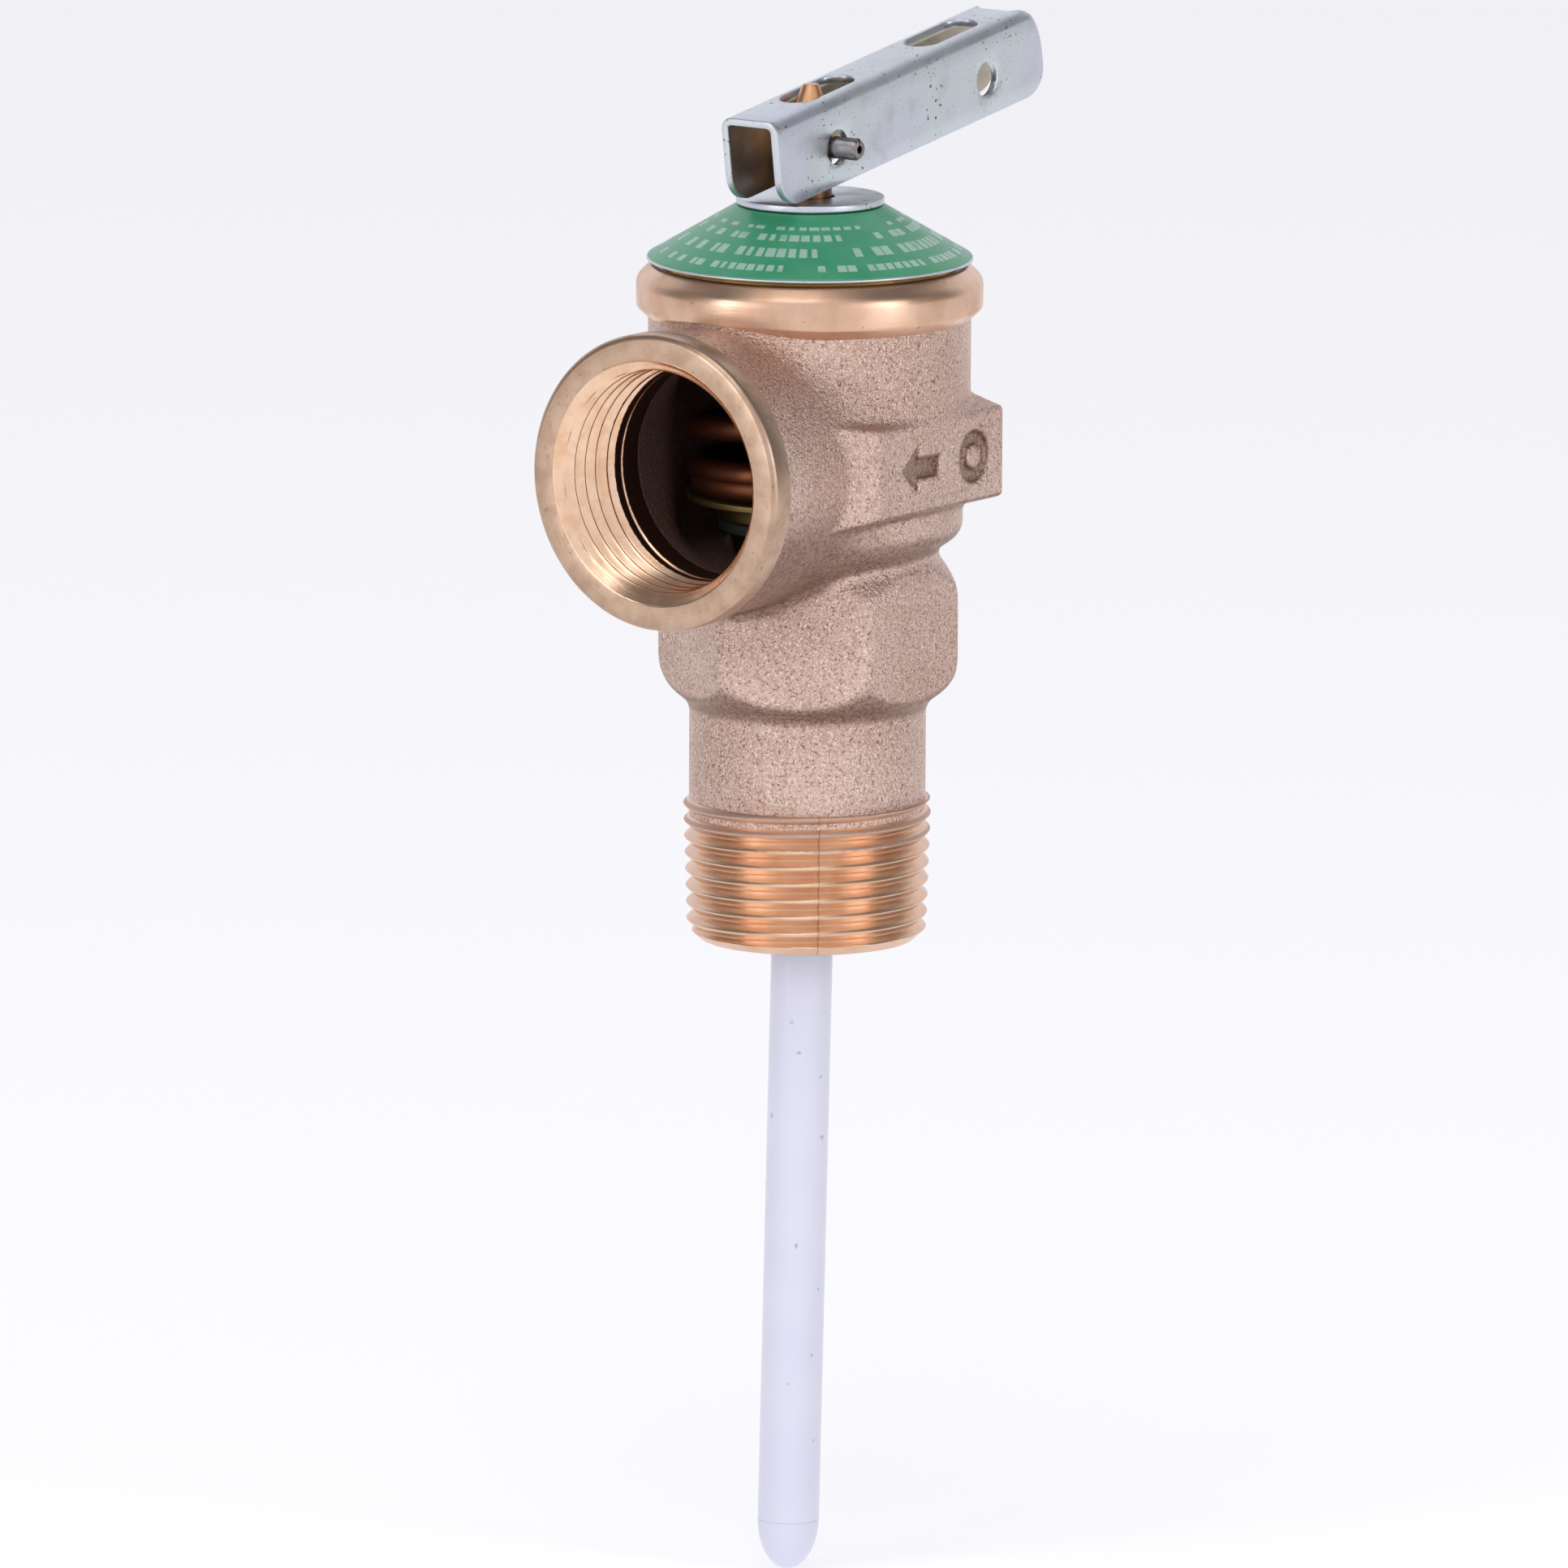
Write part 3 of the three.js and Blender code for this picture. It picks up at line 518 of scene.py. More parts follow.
class Nodes:
    """A short way to write a node tree. Its coordinates are millimetres."""

    def __init__(self, name):
        self.material = bpy.data.materials.new(name)
        self.material.use_nodes = True
        self.tree = self.material.node_tree
        self.shader = self.tree.nodes["Principled BSDF"]
        self.coord = self.scaled(self.add("ShaderNodeTexCoord").outputs["Object"], [1 / MM] * 3)

    def add(self, kind, **values):
        node = self.tree.nodes.new(kind)
        for key, value in values.items():
            setattr(node, key, value)
        return node

    def link(self, source, target):
        if isinstance(source, (int, float)):
            target.default_value = source
        elif isinstance(source, tuple):
            target.default_value = (*source, 1.0)
        else:
            self.tree.links.new(source, target)

    def scaled(self, vector, factors):
        node = self.add("ShaderNodeVectorMath", operation="MULTIPLY")
        self.link(vector, node.inputs[0])
        node.inputs[1].default_value = factors
        return node.outputs[0]

    def math(self, operation, a, b=0.0):
        node = self.add("ShaderNodeMath", operation=operation)
        self.link(a, node.inputs[0])
        self.link(b, node.inputs[1])
        return node.outputs[0]

    def noise(self, per_mm, detail=2.0, rough=0.5, coord=None, stretch=(1, 1, 1)):
        """Noise with per_mm cells to the millimetre, times the stretch along each axis."""
        node = self.add("ShaderNodeTexNoise")
        self.link(self.scaled(coord or self.coord, [s * per_mm for s in stretch]), node.inputs["Vector"])
        node.inputs["Scale"].default_value = 1.0
        node.inputs["Detail"].default_value = detail
        node.inputs["Roughness"].default_value = rough
        return node.outputs["Fac"]

    def ramp(self, value, low, high, start=0.0, end=1.0):
        """A soft step from start to end while the value goes from low to high."""
        node = self.add("ShaderNodeMapRange", interpolation_type="SMOOTHSTEP")
        self.link(value, node.inputs["Value"])
        for key, number in zip(("From Min", "From Max", "To Min", "To Max"), (low, high, start, end)):
            self.link(number, node.inputs[key])
        return node.outputs["Result"]

    def times(self, a, b):
        return self.math("MULTIPLY", a, b)

    def plus(self, a, b):
        return self.math("ADD", a, b)

    def minus(self, a, b):
        return self.math("SUBTRACT", a, b)

    def weighed(self, a, share, b, other):
        """Sum of two values, each times a number or a value."""
        return self.plus(self.times(a, share), self.times(b, other))

    def fade(self, value, low, high):
        """A soft step down from 1 to 0."""
        return self.ramp(value, low, high, 1.0, 0.0)

    def length(self, a, b):
        return self.math("SQRT", self.weighed(a, a, b, b))

    def apart(self, a, b):
        return self.math("ABSOLUTE", self.minus(a, b))

    def distance(self, value, centre, half):
        """How far a coordinate is outside a stretch."""
        return self.minus(self.apart(value, centre), half)

    def mix(self, factor, a, b):
        """Between two colours, each a socket or display numbers from 0 to 255."""
        node = self.add("ShaderNodeMix", data_type="RGBA")
        self.link(factor, node.inputs["Factor"])
        for color, place in ((a, 6), (b, 7)):
            self.link(linear(*color) if isinstance(color, (tuple, list)) else color, node.inputs[place])
        return node.outputs[2]

    def split(self):
        node = self.add("ShaderNodeSeparateXYZ")
        self.link(self.coord, node.inputs[0])
        return node.outputs

    def bump(self, height, distance_mm, strength=1.0):
        node = self.add("ShaderNodeBump")
        node.inputs["Strength"].default_value = strength
        node.inputs["Distance"].default_value = distance_mm * MM
        self.link(height, node.inputs["Height"])
        return node.outputs["Normal"]

    def outlet_radius(self, x, z):
        """Distance from the outlet's axis."""
        return self.length(x, self.minus(z, OUTLET_Z))

    def finish(self, color, rough, metallic, normal=None, **sockets):
        for name, value in (("Base Color", color), ("Roughness", rough), ("Metallic", metallic)):
            self.link(value, self.shader.inputs[name])
        if normal is not None:
            self.link(normal, self.shader.inputs["Normal"])
        for name, value in sockets.items():
            self.shader.inputs[name.replace("_", " ")].default_value = value
        return self.material


def linear(red, green, blue):
    """A display colour from 0 to 255 as scene linear numbers."""
    shares = [c / 255 for c in (red, green, blue)]
    return tuple(((c + 0.055) / 1.055) ** 2.4 if c > 0.04 else c / 12.92 for c in shares)


TOOL_LINES = (0.05, 0.05, 1)  # stretches noise into rings about the valve's axis
OUTLET_LINES = (0.05, 1, 0.05)  # and about the outlet's


def inside_shade(m, x, y, z):
    """Share of painted shade: full in the spring chamber and in the outlet's passage."""
    floor = CHAMBER_LOW - 0.2
    wall = m.ramp(z, floor, floor + 2.3, CHAMBER_R - 1.5, CHAMBER_R + 0.6)
    in_chamber = m.fade(m.minus(m.length(x, y), wall), 0.0, 0.5)
    in_chamber = m.times(in_chamber, m.ramp(z, floor - 0.4, floor))
    near_axis = m.fade(m.outlet_radius(x, z), 14.5, 15)
    in_passage = m.times(near_axis, m.fade(y, -4, 0))
    return m.math("MAXIMUM", in_chamber, in_passage)


def underside_shade(m, grain):
    """Share of painted shade on the faces that look down, patchy with the grain."""
    facing = m.add("ShaderNodeSeparateXYZ")
    m.link(m.add("ShaderNodeTexCoord").outputs["Normal"], facing.inputs[0])
    down = m.fade(facing.outputs[2], -0.5, 0.0)
    return m.times(down, m.ramp(grain, 0.3, 0.6, 0.85, 0.6))


def mark_floors(m, x, y, z):
    """Share of shade on the sunk floors of the arrow and the dimple."""
    beside = m.math("MAXIMUM", m.distance(z, OUTLET_Z, 3.2), m.distance(y, 1.3, 8.8))
    sunk = m.distance(x, PAD_X - MARK_DEPTH, 0.4)
    return m.fade(m.math("MAXIMUM", beside, sunk), 0.0, 0.1)


def cast_bronze():
    """Sand cast skin: fine grain, small dark pits, bright flecks, a less metallic inside darkened with
    painted shade, and painted shade on the faces that look down.
    """
    m = Nodes("cast_bronze")
    x, y, z = m.split()
    broad = m.noise(0.09, 3)
    grain = m.noise(2.1, 3, 0.6)
    fine = m.noise(4.6, 2, 0.6)
    pits = m.fade(m.noise(3.3, 2, 0.6), 0.34, 0.42)
    color = m.mix(m.ramp(broad, 0.35, 0.65), (212, 181, 167), (199, 165, 149))
    color = m.mix(m.ramp(fine, 0.48, 0.7, 0.0, 0.8), color, (254, 236, 222))
    color = m.mix(m.ramp(grain, 0.5, 0.3, 0.0, 0.55), color, (150, 120, 106))
    color = m.mix(m.times(pits, 0.7), color, (92, 72, 64))
    inside = inside_shade(m, x, y, z)
    # painted shade inside the spring chamber and the outlet's passage
    color = m.mix(m.times(inside, 0.85), color, (104, 74, 64))
    # painted shade on the faces that look down
    color = m.mix(underside_shade(m, grain), color, (112, 84, 72))
    color = m.mix(m.times(mark_floors(m, x, y, z), 0.5), color, (112, 84, 72))
    normal = m.bump(m.weighed(grain, 0.6, fine, 0.4), 0.36)
    rough = m.ramp(fine, 0.2, 0.8, 0.32, 0.46)
    return m.finish(color, rough, m.ramp(inside, 0, 1, 0.92, 0.3), normal)


def turned_metal(name, base, deep, rough, wear=0.35):
    """Turned metal: fine tool lines round the axis, soft stains and small nicks."""
    m = Nodes(name)
    tool = m.noise(9.0, stretch=TOOL_LINES)
    stains = m.noise(0.22, 4, 0.6)
    nicks = m.fade(m.noise(1.1), 0.24, 0.3)
    color = m.mix(m.ramp(stains, 0.35, 0.7, 0.0, wear), base, deep)
    color = m.mix(m.times(nicks, 0.5), color, [c * 0.55 for c in deep])
    normal = m.bump(m.weighed(tool, 0.6, stains, 0.4), 0.03, 0.5)
    return m.finish(color, m.ramp(stains, 0.2, 0.8, rough, rough + 0.14), 1.0, normal)


def inlet_metal():
    """Freshly cut thread with cast skin on the last crests and the fine line of the mould's joint."""
    m = Nodes("turned_thread")
    x, y, z = m.split()
    tool = m.noise(8.0, stretch=TOOL_LINES)
    stains = m.noise(0.3, 4, 0.6)
    color = m.mix(m.ramp(stains, 0.35, 0.7, 0.0, 0.7), (230, 194, 166), (216, 174, 142))
    on_crest = m.ramp(m.length(x, y), CREST_R, CREST_R + 0.2)
    skin = m.times(on_crest, m.ramp(z, 10.5, 12.5))
    edge = m.ramp(m.plus(skin, m.times(m.noise(1.2, 3), 0.5)), 0.75, 0.95)
    color = m.mix(edge, color, (206, 176, 158))
    joint = m.math("ABSOLUTE", m.weighed(x, math.cos(JOINT_HEADING), y, math.sin(JOINT_HEADING)))
    line = m.fade(joint, 0.03, 0.12)
    color = m.mix(m.times(line, 0.4), color, (120, 76, 48))
    height = m.weighed(tool, 0.15, m.noise(2.5, 3), m.ramp(edge, 0, 1, 0.05, 2.0))
    rough = m.ramp(edge, 0.0, 1.0, 0.31, 0.5)
    return m.finish(color, rough, 1.0, m.bump(height, 0.05, 0.5))


def thread_root(m, x, y, z):
    """Share of shade in the roots of the outlet's thread, along the same helix as the mesh."""
    turn = m.math("ARCTAN2", m.minus(z, OUTLET_Z), x)
    depth = m.plus(y, OUTLET_FACE - SOCKET_SUNK)
    place = m.weighed(depth, 1 / PITCH, turn, 0.5 / math.pi)
    wave = m.math("FRACT", m.plus(m.minus(place, SOCKET_START), 20.0))
    root = m.ramp(m.apart(wave, 0.5), 0.42, 0.48)
    threaded = m.fade(m.outlet_radius(x, z), SOCKET_MOUTH_R, SOCKET_MOUTH_R + 0.1)
    return m.times(root, threaded)


def socket_metal():
    """Bright cut thread in the outlet that gives way to the cast skin of the bore, darkened with painted
    shade, with painted shade in the thread's roots.
    """
    m = Nodes("outlet_thread")
    x, y, z = m.split()
    stains = m.noise(0.4, 3, 0.6)
    color = m.mix(m.ramp(stains, 0.35, 0.7), (244, 208, 178), (232, 188, 152))
    color = m.mix(m.times(thread_root(m, x, y, z), 0.55), color, (120, 92, 72))
    rag = m.times(m.minus(m.noise(2.0, 3), 0.5), 0.16)
    ragged = m.plus(m.outlet_radius(x, z), rag)
    # the bore's cast skin, darkened with painted shade
    skin = m.fade(ragged, PASSAGE_R + 0.02, PASSAGE_R + 0.08)
    color = m.mix(skin, color, (96, 72, 62))
    tool = m.noise(8.0, stretch=OUTLET_LINES)
    return m.finish(color, m.ramp(skin, 0, 1, 0.24, 0.6), 1.0, m.bump(tool, 0.03, 0.4))


def rim_metal():
    """Faced end of the outlet: fine circles left by the tool, soft stains and a few nicks."""
    m = Nodes("turned_rim")
    x, y, z = m.split()
    place = m.add("ShaderNodeCombineXYZ")
    m.link(m.outlet_radius(x, z), place.inputs[0])
    m.link(y, place.inputs[1])
    tool = m.noise(7.0, 3, 0.6, coord=place.outputs[0])
    stains = m.noise(0.35, 4, 0.6)
    nicks = m.fade(m.noise(1.3), 0.26, 0.31)
    color = m.mix(m.ramp(stains, 0.35, 0.7), (196, 168, 146), (176, 146, 124))
    color = m.mix(m.ramp(tool, 0.55, 0.35, 0.0, 0.3), color, (186, 150, 124))
    color = m.mix(m.times(nicks, 0.45), color, (110, 84, 68))
    normal = m.bump(m.weighed(tool, 0.7, stains, 0.3), 0.03, 0.8)
    return m.finish(color, m.ramp(stains, 0.2, 0.8, 0.26, 0.4), 1.0, normal)


def zinc_plate(name, dull_inside=False):
    """Zinc plated sheet: cool grey with faint iridescence, cloudy roughness and dark specks."""
    m = Nodes(name)
    cloud = m.noise(0.16, 4, 0.6)
    tint = m.noise(0.1)
    specks = m.fade(m.noise(2.0, 2, 0.6), 0.31, 0.36)
    patch = m.ramp(m.noise(0.2, 1), 0.5, 0.62)
    color = m.mix(m.ramp(tint, 0.35, 0.65), (206, 207, 220), (203, 211, 214))
    color = m.mix(m.ramp(cloud, 0.55, 0.75, 0.0, 0.4), color, (176, 170, 164))
    share = m.plus(m.times(patch, 0.75), 0.2)
    color = m.mix(m.times(specks, share), color, (66, 60, 58))
    if dull_inside:
        color = m.mix(inside_lever(m), color, (176, 162, 138))
    grain = m.noise(3.5)
    normal = m.bump(m.weighed(grain, 1.0, cloud, 2.0), 0.03, 0.6)
    return m.finish(color, m.ramp(cloud, 0.2, 0.8, 0.26, 0.44), 0.95, normal)


def inside_lever(m):
    """Share of darker, warmer plating in patches: full on the inside faces of the lever's channel."""
    x, y, z = m.split()
    lift = m.weighed(m.minus(z, PIN_Z), math.cos(LEVER_TILT), y, -math.sin(LEVER_TILT))
    under = LEVER["above"] - LEVER["sheet"]
    below_top = m.fade(lift, under, under + 0.15)
    inner = LEVER["width"] / 2 - LEVER["sheet"]
    between = m.fade(m.math("ABSOLUTE", x), inner, inner + 0.15)
    patches = m.ramp(m.noise(0.4, 3), 0.3, 0.6, 0.55, 0.85)
    return m.times(m.times(between, below_top), patches)


def bronze_bar():
    """Drawn bronze bar, clean at the top and darkened under the lever with painted shade."""
    m = Nodes("bronze_bar")
    z = m.split()[2]
    tool = m.noise(9.0, stretch=TOOL_LINES)
    stains = m.noise(0.22, 4, 0.6)
    color = m.mix(m.ramp(stains, 0.35, 0.7, 0.0, 0.35), (222, 172, 126), (190, 136, 92))
    # painted shade on the stem under the lever
    shade_under_lever = m.ramp(z, PIN_Z - 2, PIN_Z + 2, 0.85, 0.0)
    color = m.mix(shade_under_lever, color, (92, 66, 48))
    normal = m.bump(m.weighed(tool, 0.6, stains, 0.4), 0.03, 0.5)
    return m.finish(color, m.ramp(stains, 0.2, 0.8, 0.28, 0.42), 1.0, normal)


# rows of marks on the nameplate: radius, half width, marks to a turn and seed
LABEL_ROWS = ((10.1, 0.2, 52, 0.0), (11.5, 0.42, 60, 3.0), (13.7, 0.6, 72, 7.0), (16.0, 0.42, 90, 13.0))


def label_row(m, radius, angle, centre, half, count, seed):
    """Bars of uneven width round one row, with a gap left here and there."""
    row = m.fade(m.apart(radius, centre), half, half + 0.08)
    place = m.plus(m.times(angle, count / (2 * math.pi)), seed)
    chance = m.add("ShaderNodeTexWhiteNoise", noise_dimensions="1D")
    m.link(m.math("FLOOR", place), chance.inputs["W"])
    luck = chance.outputs["Value"]
    width = m.ramp(luck, 0, 1, 0.18, 0.44)
    bar = m.fade(m.apart(m.math("FRACT", place), 0.5), width, m.plus(width, 0.03))
    return m.times(m.times(bar, row), m.math("GREATER_THAN", luck, 0.2))


def label_enamel():
    """Green enamel with rows of plain pale bars where the print would be."""
    m = Nodes("green_label")
    x, y, z = m.split()
    angle = m.math("ARCTAN2", y, x)
    radius = m.length(x, y)
    marks = 0.0
    for row in LABEL_ROWS:
        marks = m.math("MAXIMUM", marks, label_row(m, radius, angle, *row))
    worn = m.ramp(m.noise(0.8, 3), 0.3, 0.5, 0.55, 0.85)
    mottle = m.noise(0.3, 3)
    green = m.mix(m.ramp(mottle, 0.3, 0.7), (52, 146, 103), (64, 154, 112))
    color = m.mix(m.times(marks, worn), green, (168, 200, 184))
    rough = m.ramp(mottle, 0.2, 0.8, 0.34, 0.46)
    normal = m.bump(m.noise(1.2), 0.02, 0.5)
    return m.finish(color, rough, 0.0, normal, Coat_Weight=0.25, Coat_Roughness=0.25)


def white_coating():
    """Dipped plastic coating: pale and even, with small grey specks."""
    m = Nodes("white_coating")
    cloud = m.noise(0.12, 1)
    specks = m.fade(m.noise(0.75, 1), 0.21, 0.26)
    color = m.mix(m.ramp(cloud, 0.1, 0.9), (219, 219, 233), (213, 213, 230))
    color = m.mix(m.times(specks, 0.6), color, (150, 150, 160))
    normal = m.bump(m.noise(0.35), 0.08, 0.4)
    rough = m.ramp(cloud, 0.0, 1.0, 0.28, 0.34)
    return m.finish(color, rough, 0.0, normal, Coat_Weight=0.2, Coat_Roughness=0.12)


def plain(name, color, rough, metallic):
    """A simple moulded or drawn finish with fine grain and uneven gloss."""
    m = Nodes(name)
    cloud = m.noise(0.3, 3)
    tone = m.mix(m.ramp(cloud, 0.3, 0.7), color, [c * 0.8 for c in color])
    normal = m.bump(m.noise(2.0), 0.03, 0.5)
    return m.finish(tone, m.ramp(cloud, 0.2, 0.8, rough, rough + 0.12), metallic, normal)


CAST = cast_bronze()
THREAD = inlet_metal()
SOCKET = socket_metal()
RIM = rim_metal()
BAND = turned_metal("turned_band", (222, 186, 160), (204, 160, 128), rough=0.26, wear=0.6)
ZINC = zinc_plate("zinc_plate")
LEVER_ZINC = zinc_plate("zinc_lever", dull_inside=True)
LABEL = label_enamel()
COATING = white_coating()
STEM_METAL = bronze_bar()
BRASS = turned_metal("brass", (214, 180, 110), (180, 140, 80), rough=0.3)
# duller brass for the disc holder, its colour darkened with painted shade for the dark chamber
DULL_SHADED_BRASS = plain("dull_brass_painted_shade", (150, 128, 84), 0.38, 1.0)
# copper darkened with painted shade, for the spring in the dark chamber
SHADED_COPPER = plain("copper_wire_painted_shade", (124, 76, 52), 0.42, 1.0)
PIN_STEEL = plain("dark_steel", (158, 152, 152), 0.25, 1.0)
STEEL = plain("plain_steel", (170, 170, 172), 0.3, 1.0)
RUBBER = plain("black_rubber", (34, 34, 36), 0.6, 0.0)
WAX = plain("wax", (230, 217, 168), 0.5, 0.0)


# ---- pieces ----


def outlet_parts():
    """Threaded socket and faced rim, made about +Z and turned to the outlet."""
    points, polygons = thread_sleeve(SOCKET_LENGTH, outlet_radius, SOCKET_WALL_R)
    points = points * (1, -1, -1) + (0, 0, OUTLET_FACE - SOCKET_SUNK)
    socket = solid("outlet_thread", on_outlet(points), polygons, SOCKET, 55)
    face = OUTLET_FACE
    mouth, wall = SOCKET_MOUTH_R, 14.4
    verts, faces = turned(rounded([
        (mouth - 0.05, face - 0.6, 0.1), (mouth + 0.05, face, 0.12), (OUTLET_R, face, 0.75),
        (OUTLET_R, face - 3.0, 0.25), (TUBE_R - 0.6, face - RIM_LENGTH, 0), (wall, face - RIM_LENGTH, 0),
    ]), 192)
    return [socket, solid("outlet_rim", on_outlet(verts), faces, RIM, 40)]


def valve_body():
    """The cast skin with its turned threads, end face, rim and top ring."""
    low = (-19, -27.2, -0.5)
    high = (19, 19, 73)
    verts, faces = surface_nets(cast_field, low, high, 0.36)
    parts = [solid("valve_body_skin", verts, faces, CAST, 80)]
    points, polygons = thread_sleeve(INLET_LENGTH, inlet_radius, CORE_R)
    parts.append(solid("inlet_thread", points, polygons, THREAD, 55))
    end, depth, wall = 0.03, 1.6, 11.2
    outline = [(BORE_R, end, 0.3), (wall, end, 0), (wall, depth, 0), (BORE_R, depth, 0)]
    parts.append(lathe("inlet_end", outline, THREAD))
    parts += outlet_parts()
    parts.append(lathe("top_band", [
        (16.3, TOP_Z - 4.6, 0), (BARREL_R - 0.1, TOP_Z - 5.9, 0.3), (RING_R - 0.05, TOP_Z - 4.6, 0.5),
        (RING_R, TOP_Z - 1.6, 1.7), (17.2, TOP_Z, 0.5), (16.3, TOP_Z - 0.1, 0.3),
    ], BAND, sides=192))
    body = join("valve_body_visual", parts)
    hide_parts("valve_body")


def nameplate():
    """A thin cone in two layers: green enamel on a bare zinc back."""
    rise_low, rise_high = CONE_LOW[2], CONE_HIGH[2]
    rim, top, hole, sheet = CONE_HIGH[0], 8.0, 3.2, 0.45
    enamel = lathe("nameplate_enamel", [
        (hole, rise_high, 0.1), (top, rise_high, 0.6), (rim - 0.12, rise_low + sheet + 0.02, 0.1),
        (rim - 0.2, rise_low + sheet - 0.18, 0), (top, rise_high - 0.22, 0), (hole, rise_high - 0.22, 0),
    ], LABEL, sides=192)
    back = lathe("nameplate_back", [
        (hole, rise_high - 0.2, 0), (top, rise_high - 0.2, 0), (rim - 0.02, rise_low + sheet - 0.14, 0.05),
        (rim, rise_low + 0.02, 0.1), (top, rise_high - sheet, 0), (hole, rise_high - sheet, 0),
    ], ZINC, sides=192)
    plate = join("nameplate", [enamel, back])
    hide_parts("nameplate_cone")


def washer():
    low, high = WASHER_LOW[2], WASHER_HIGH[2]
    hole, rim = 2.7, WASHER_HIGH[0]
    outline = [(hole, low, 0.1), (rim, low, 0.25), (rim, high, 0.12), (hole, high, 0.1)]
    piece = lathe("washer", outline, ZINC, "washer", sides=160)
    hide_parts("top_washer")


def stem():
    """A bar with a thinner foot and a tapered tip."""
    low, top = STEM_LOW[2], STEM_HIGH[2]
    foot_r, foot_top = 1.6, 51.0
    piece = lathe("stem_bar", [
        (0, low, 0), (foot_r, low, 0.2), (foot_r, foot_top, 0), (STEM_R, foot_top, 0.1),
        (STEM_R, top - 3.3, 0.3), (1.75, top - 2.1, 0.1), (0.85, top, 0.12), (0, top, 0),
    ], STEM_METAL, "stem", sides=64)
    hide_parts("stem")


def lever_pin():
    """Rolled spring pin: a tube with a slit along it."""
    half = (PIN_HIGH[0] - PIN_LOW[0]) / 2
    inner = 0.45
    taper, tip = 0.35, 0.78
    sections = [(-half, tip), (-half + taper, 1.0), (half - taper, 1.0), (half, tip)]
    sides = 48
    slit = math.radians(8)
    angles = np.linspace(slit, 2 * math.pi - slit, sides)
    verts, faces = [], []
    for x, share in sections:
        for radius in (PIN_R * share, inner):
            verts += [(x, radius * math.sin(a), PIN_Z + radius * math.cos(a)) for a in angles]
    for i in range(len(sections) - 1):
        for wall in (0, 1):
            a = (2 * i + wall) * sides
            b = a + 2 * sides
            faces += [(a + k, a + k + 1, b + k + 1, b + k) for k in range(sides - 1)]
        for k in (0, sides - 1):
            a = 2 * i * sides + k
            faces.append((a, a + sides, a + 3 * sides, a + 2 * sides))
    for a in (0, 2 * (len(sections) - 1) * sides):
        faces += [(a + k, a + k + 1, a + sides + k + 1, a + sides + k) for k in range(sides - 1)]
    piece = solid("pin", verts, faces, PIN_STEEL, 40, "stem")
    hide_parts("lever_pin")


def on_blank(height):
    """How far from the blank's middle line a height on a flange lies."""
    return BEND_END + WEB_TOP - BEND_R - height


def fold(s, w):
    """Where a point of the blank goes when both flanges are folded down: along, across and up."""
    side = 1 if w >= 0 else -1
    w = abs(w)
    if w <= WEB_FLAT:
        return s, side * w, WEB_TOP
    if w <= BEND_END:
        angle = (w - WEB_FLAT) / BEND_R
        return s, side * (WEB_FLAT + BEND_R * math.sin(angle)), WEB_TOP - BEND_R + BEND_R * math.cos(angle)
    return s, side * WEB_HALF, WEB_TOP - BEND_R - (w - BEND_END)


def arc(centre, radii, start, end, steps):
    """Points of an arc. The angles are in quarters of a turn."""
    angles = np.linspace(start, end, steps + 1) * math.pi / 2
    return [(centre[0] + radii[0] * math.cos(a), centre[1] + radii[1] * math.sin(a)) for a in angles]


def blank_edge(bends):
    """Outline of the blank: heel, lower edge and front of one flange, then back along the other."""
    heel, reach = LEVER["heel"], LEVER["reach"]
    low = on_blank(-LEVER["below"])
    along, down = FRONT_CORNER
    front = on_blank(WEB_TOP - FRONT_ROUND)
    run = [(-heel, w) for w in bends] + [(-heel, (BEND_END + low - HEEL_CORNER) / 2)]
    run += arc((-heel + HEEL_CORNER, low - HEEL_CORNER), (HEEL_CORNER, HEEL_CORNER), 2, 1, 10)
    run += arc((reach - along, low - down), (along, down), 1, 0, 10)
    run += arc((reach - along, front), (along, front - WEB_FLAT), 0, -1, 10)
    return run + [(s, -w) for s, w in reversed(run)]


def slot_edge(centre):
    """Outline of a slot with round ends."""
    radius = SLOT_WIDTH / 2
    half = SLOT_LENGTH / 2 - radius
    ahead = arc((centre + half, 0), (radius, radius), -1, 1, 14)
    return ahead + arc((centre - half, 0), (radius, radius), 1, 3, 14)


def inside(point, loop):
    """Whether a point lies inside a closed outline."""
    hit = False
    for (x0, y0), (x1, y1) in zip(loop, loop[1:] + loop[:1]):
        if (y0 > point[1]) != (y1 > point[1]) and point[0] < x0 + (point[1] - y0) / (y1 - y0) * (x1 - x0):
            hit = not hit
    return hit


def lever_blank():
    """The flat blank as points and triangles, with slots and holes left open."""
    bends = [WEB_FLAT / 2] + [WEB_FLAT + (BEND_END - WEB_FLAT) * k / 5 for k in range(6)]
    loops = [blank_edge(bends)] + [slot_edge(centre) for centre in SLOTS]
    for side in (1, -1):
        for centre in CROSS_HOLES:
            loops.append(arc((centre, side * on_blank(0)), (CROSS_HOLE_R, CROSS_HOLE_R), 0, 4, 28)[:-1])

    def on_sheet(s, w):
        return inside((s, w), loops[0]) and not any(inside((s, w), loop) for loop in loops[1:])

    coords, edges = [], []
    for loop in loops:
        first = len(coords)
        coords += [Vector(p) for p in loop]
        edges += [(first + k, first + (k + 1) % len(loop)) for k in range(len(loop))]
    edge = on_blank(-LEVER["below"])
    for w in [0.0] + bends + list(np.linspace(BEND_END, edge, 6)[1:-1]):
        for s in np.arange(-LEVER["heel"] + 0.7, LEVER["reach"] - 0.3, 1.3):
            for across in sorted({w, -w}, reverse=True):
                if all(on_sheet(s + clear, across) for clear in (0, 0.2, -0.2)):
                    coords.append(Vector((s, across)))
    found = delaunay_2d_cdt(coords, edges, [], 0, 1e-6)
    points, triangles = found[0], found[2]
    middles = [sum((points[i] for i in tri), Vector((0, 0))) / len(tri) for tri in triangles]
    return points, [tri for tri, middle in zip(triangles, middles) if on_sheet(*middle)]


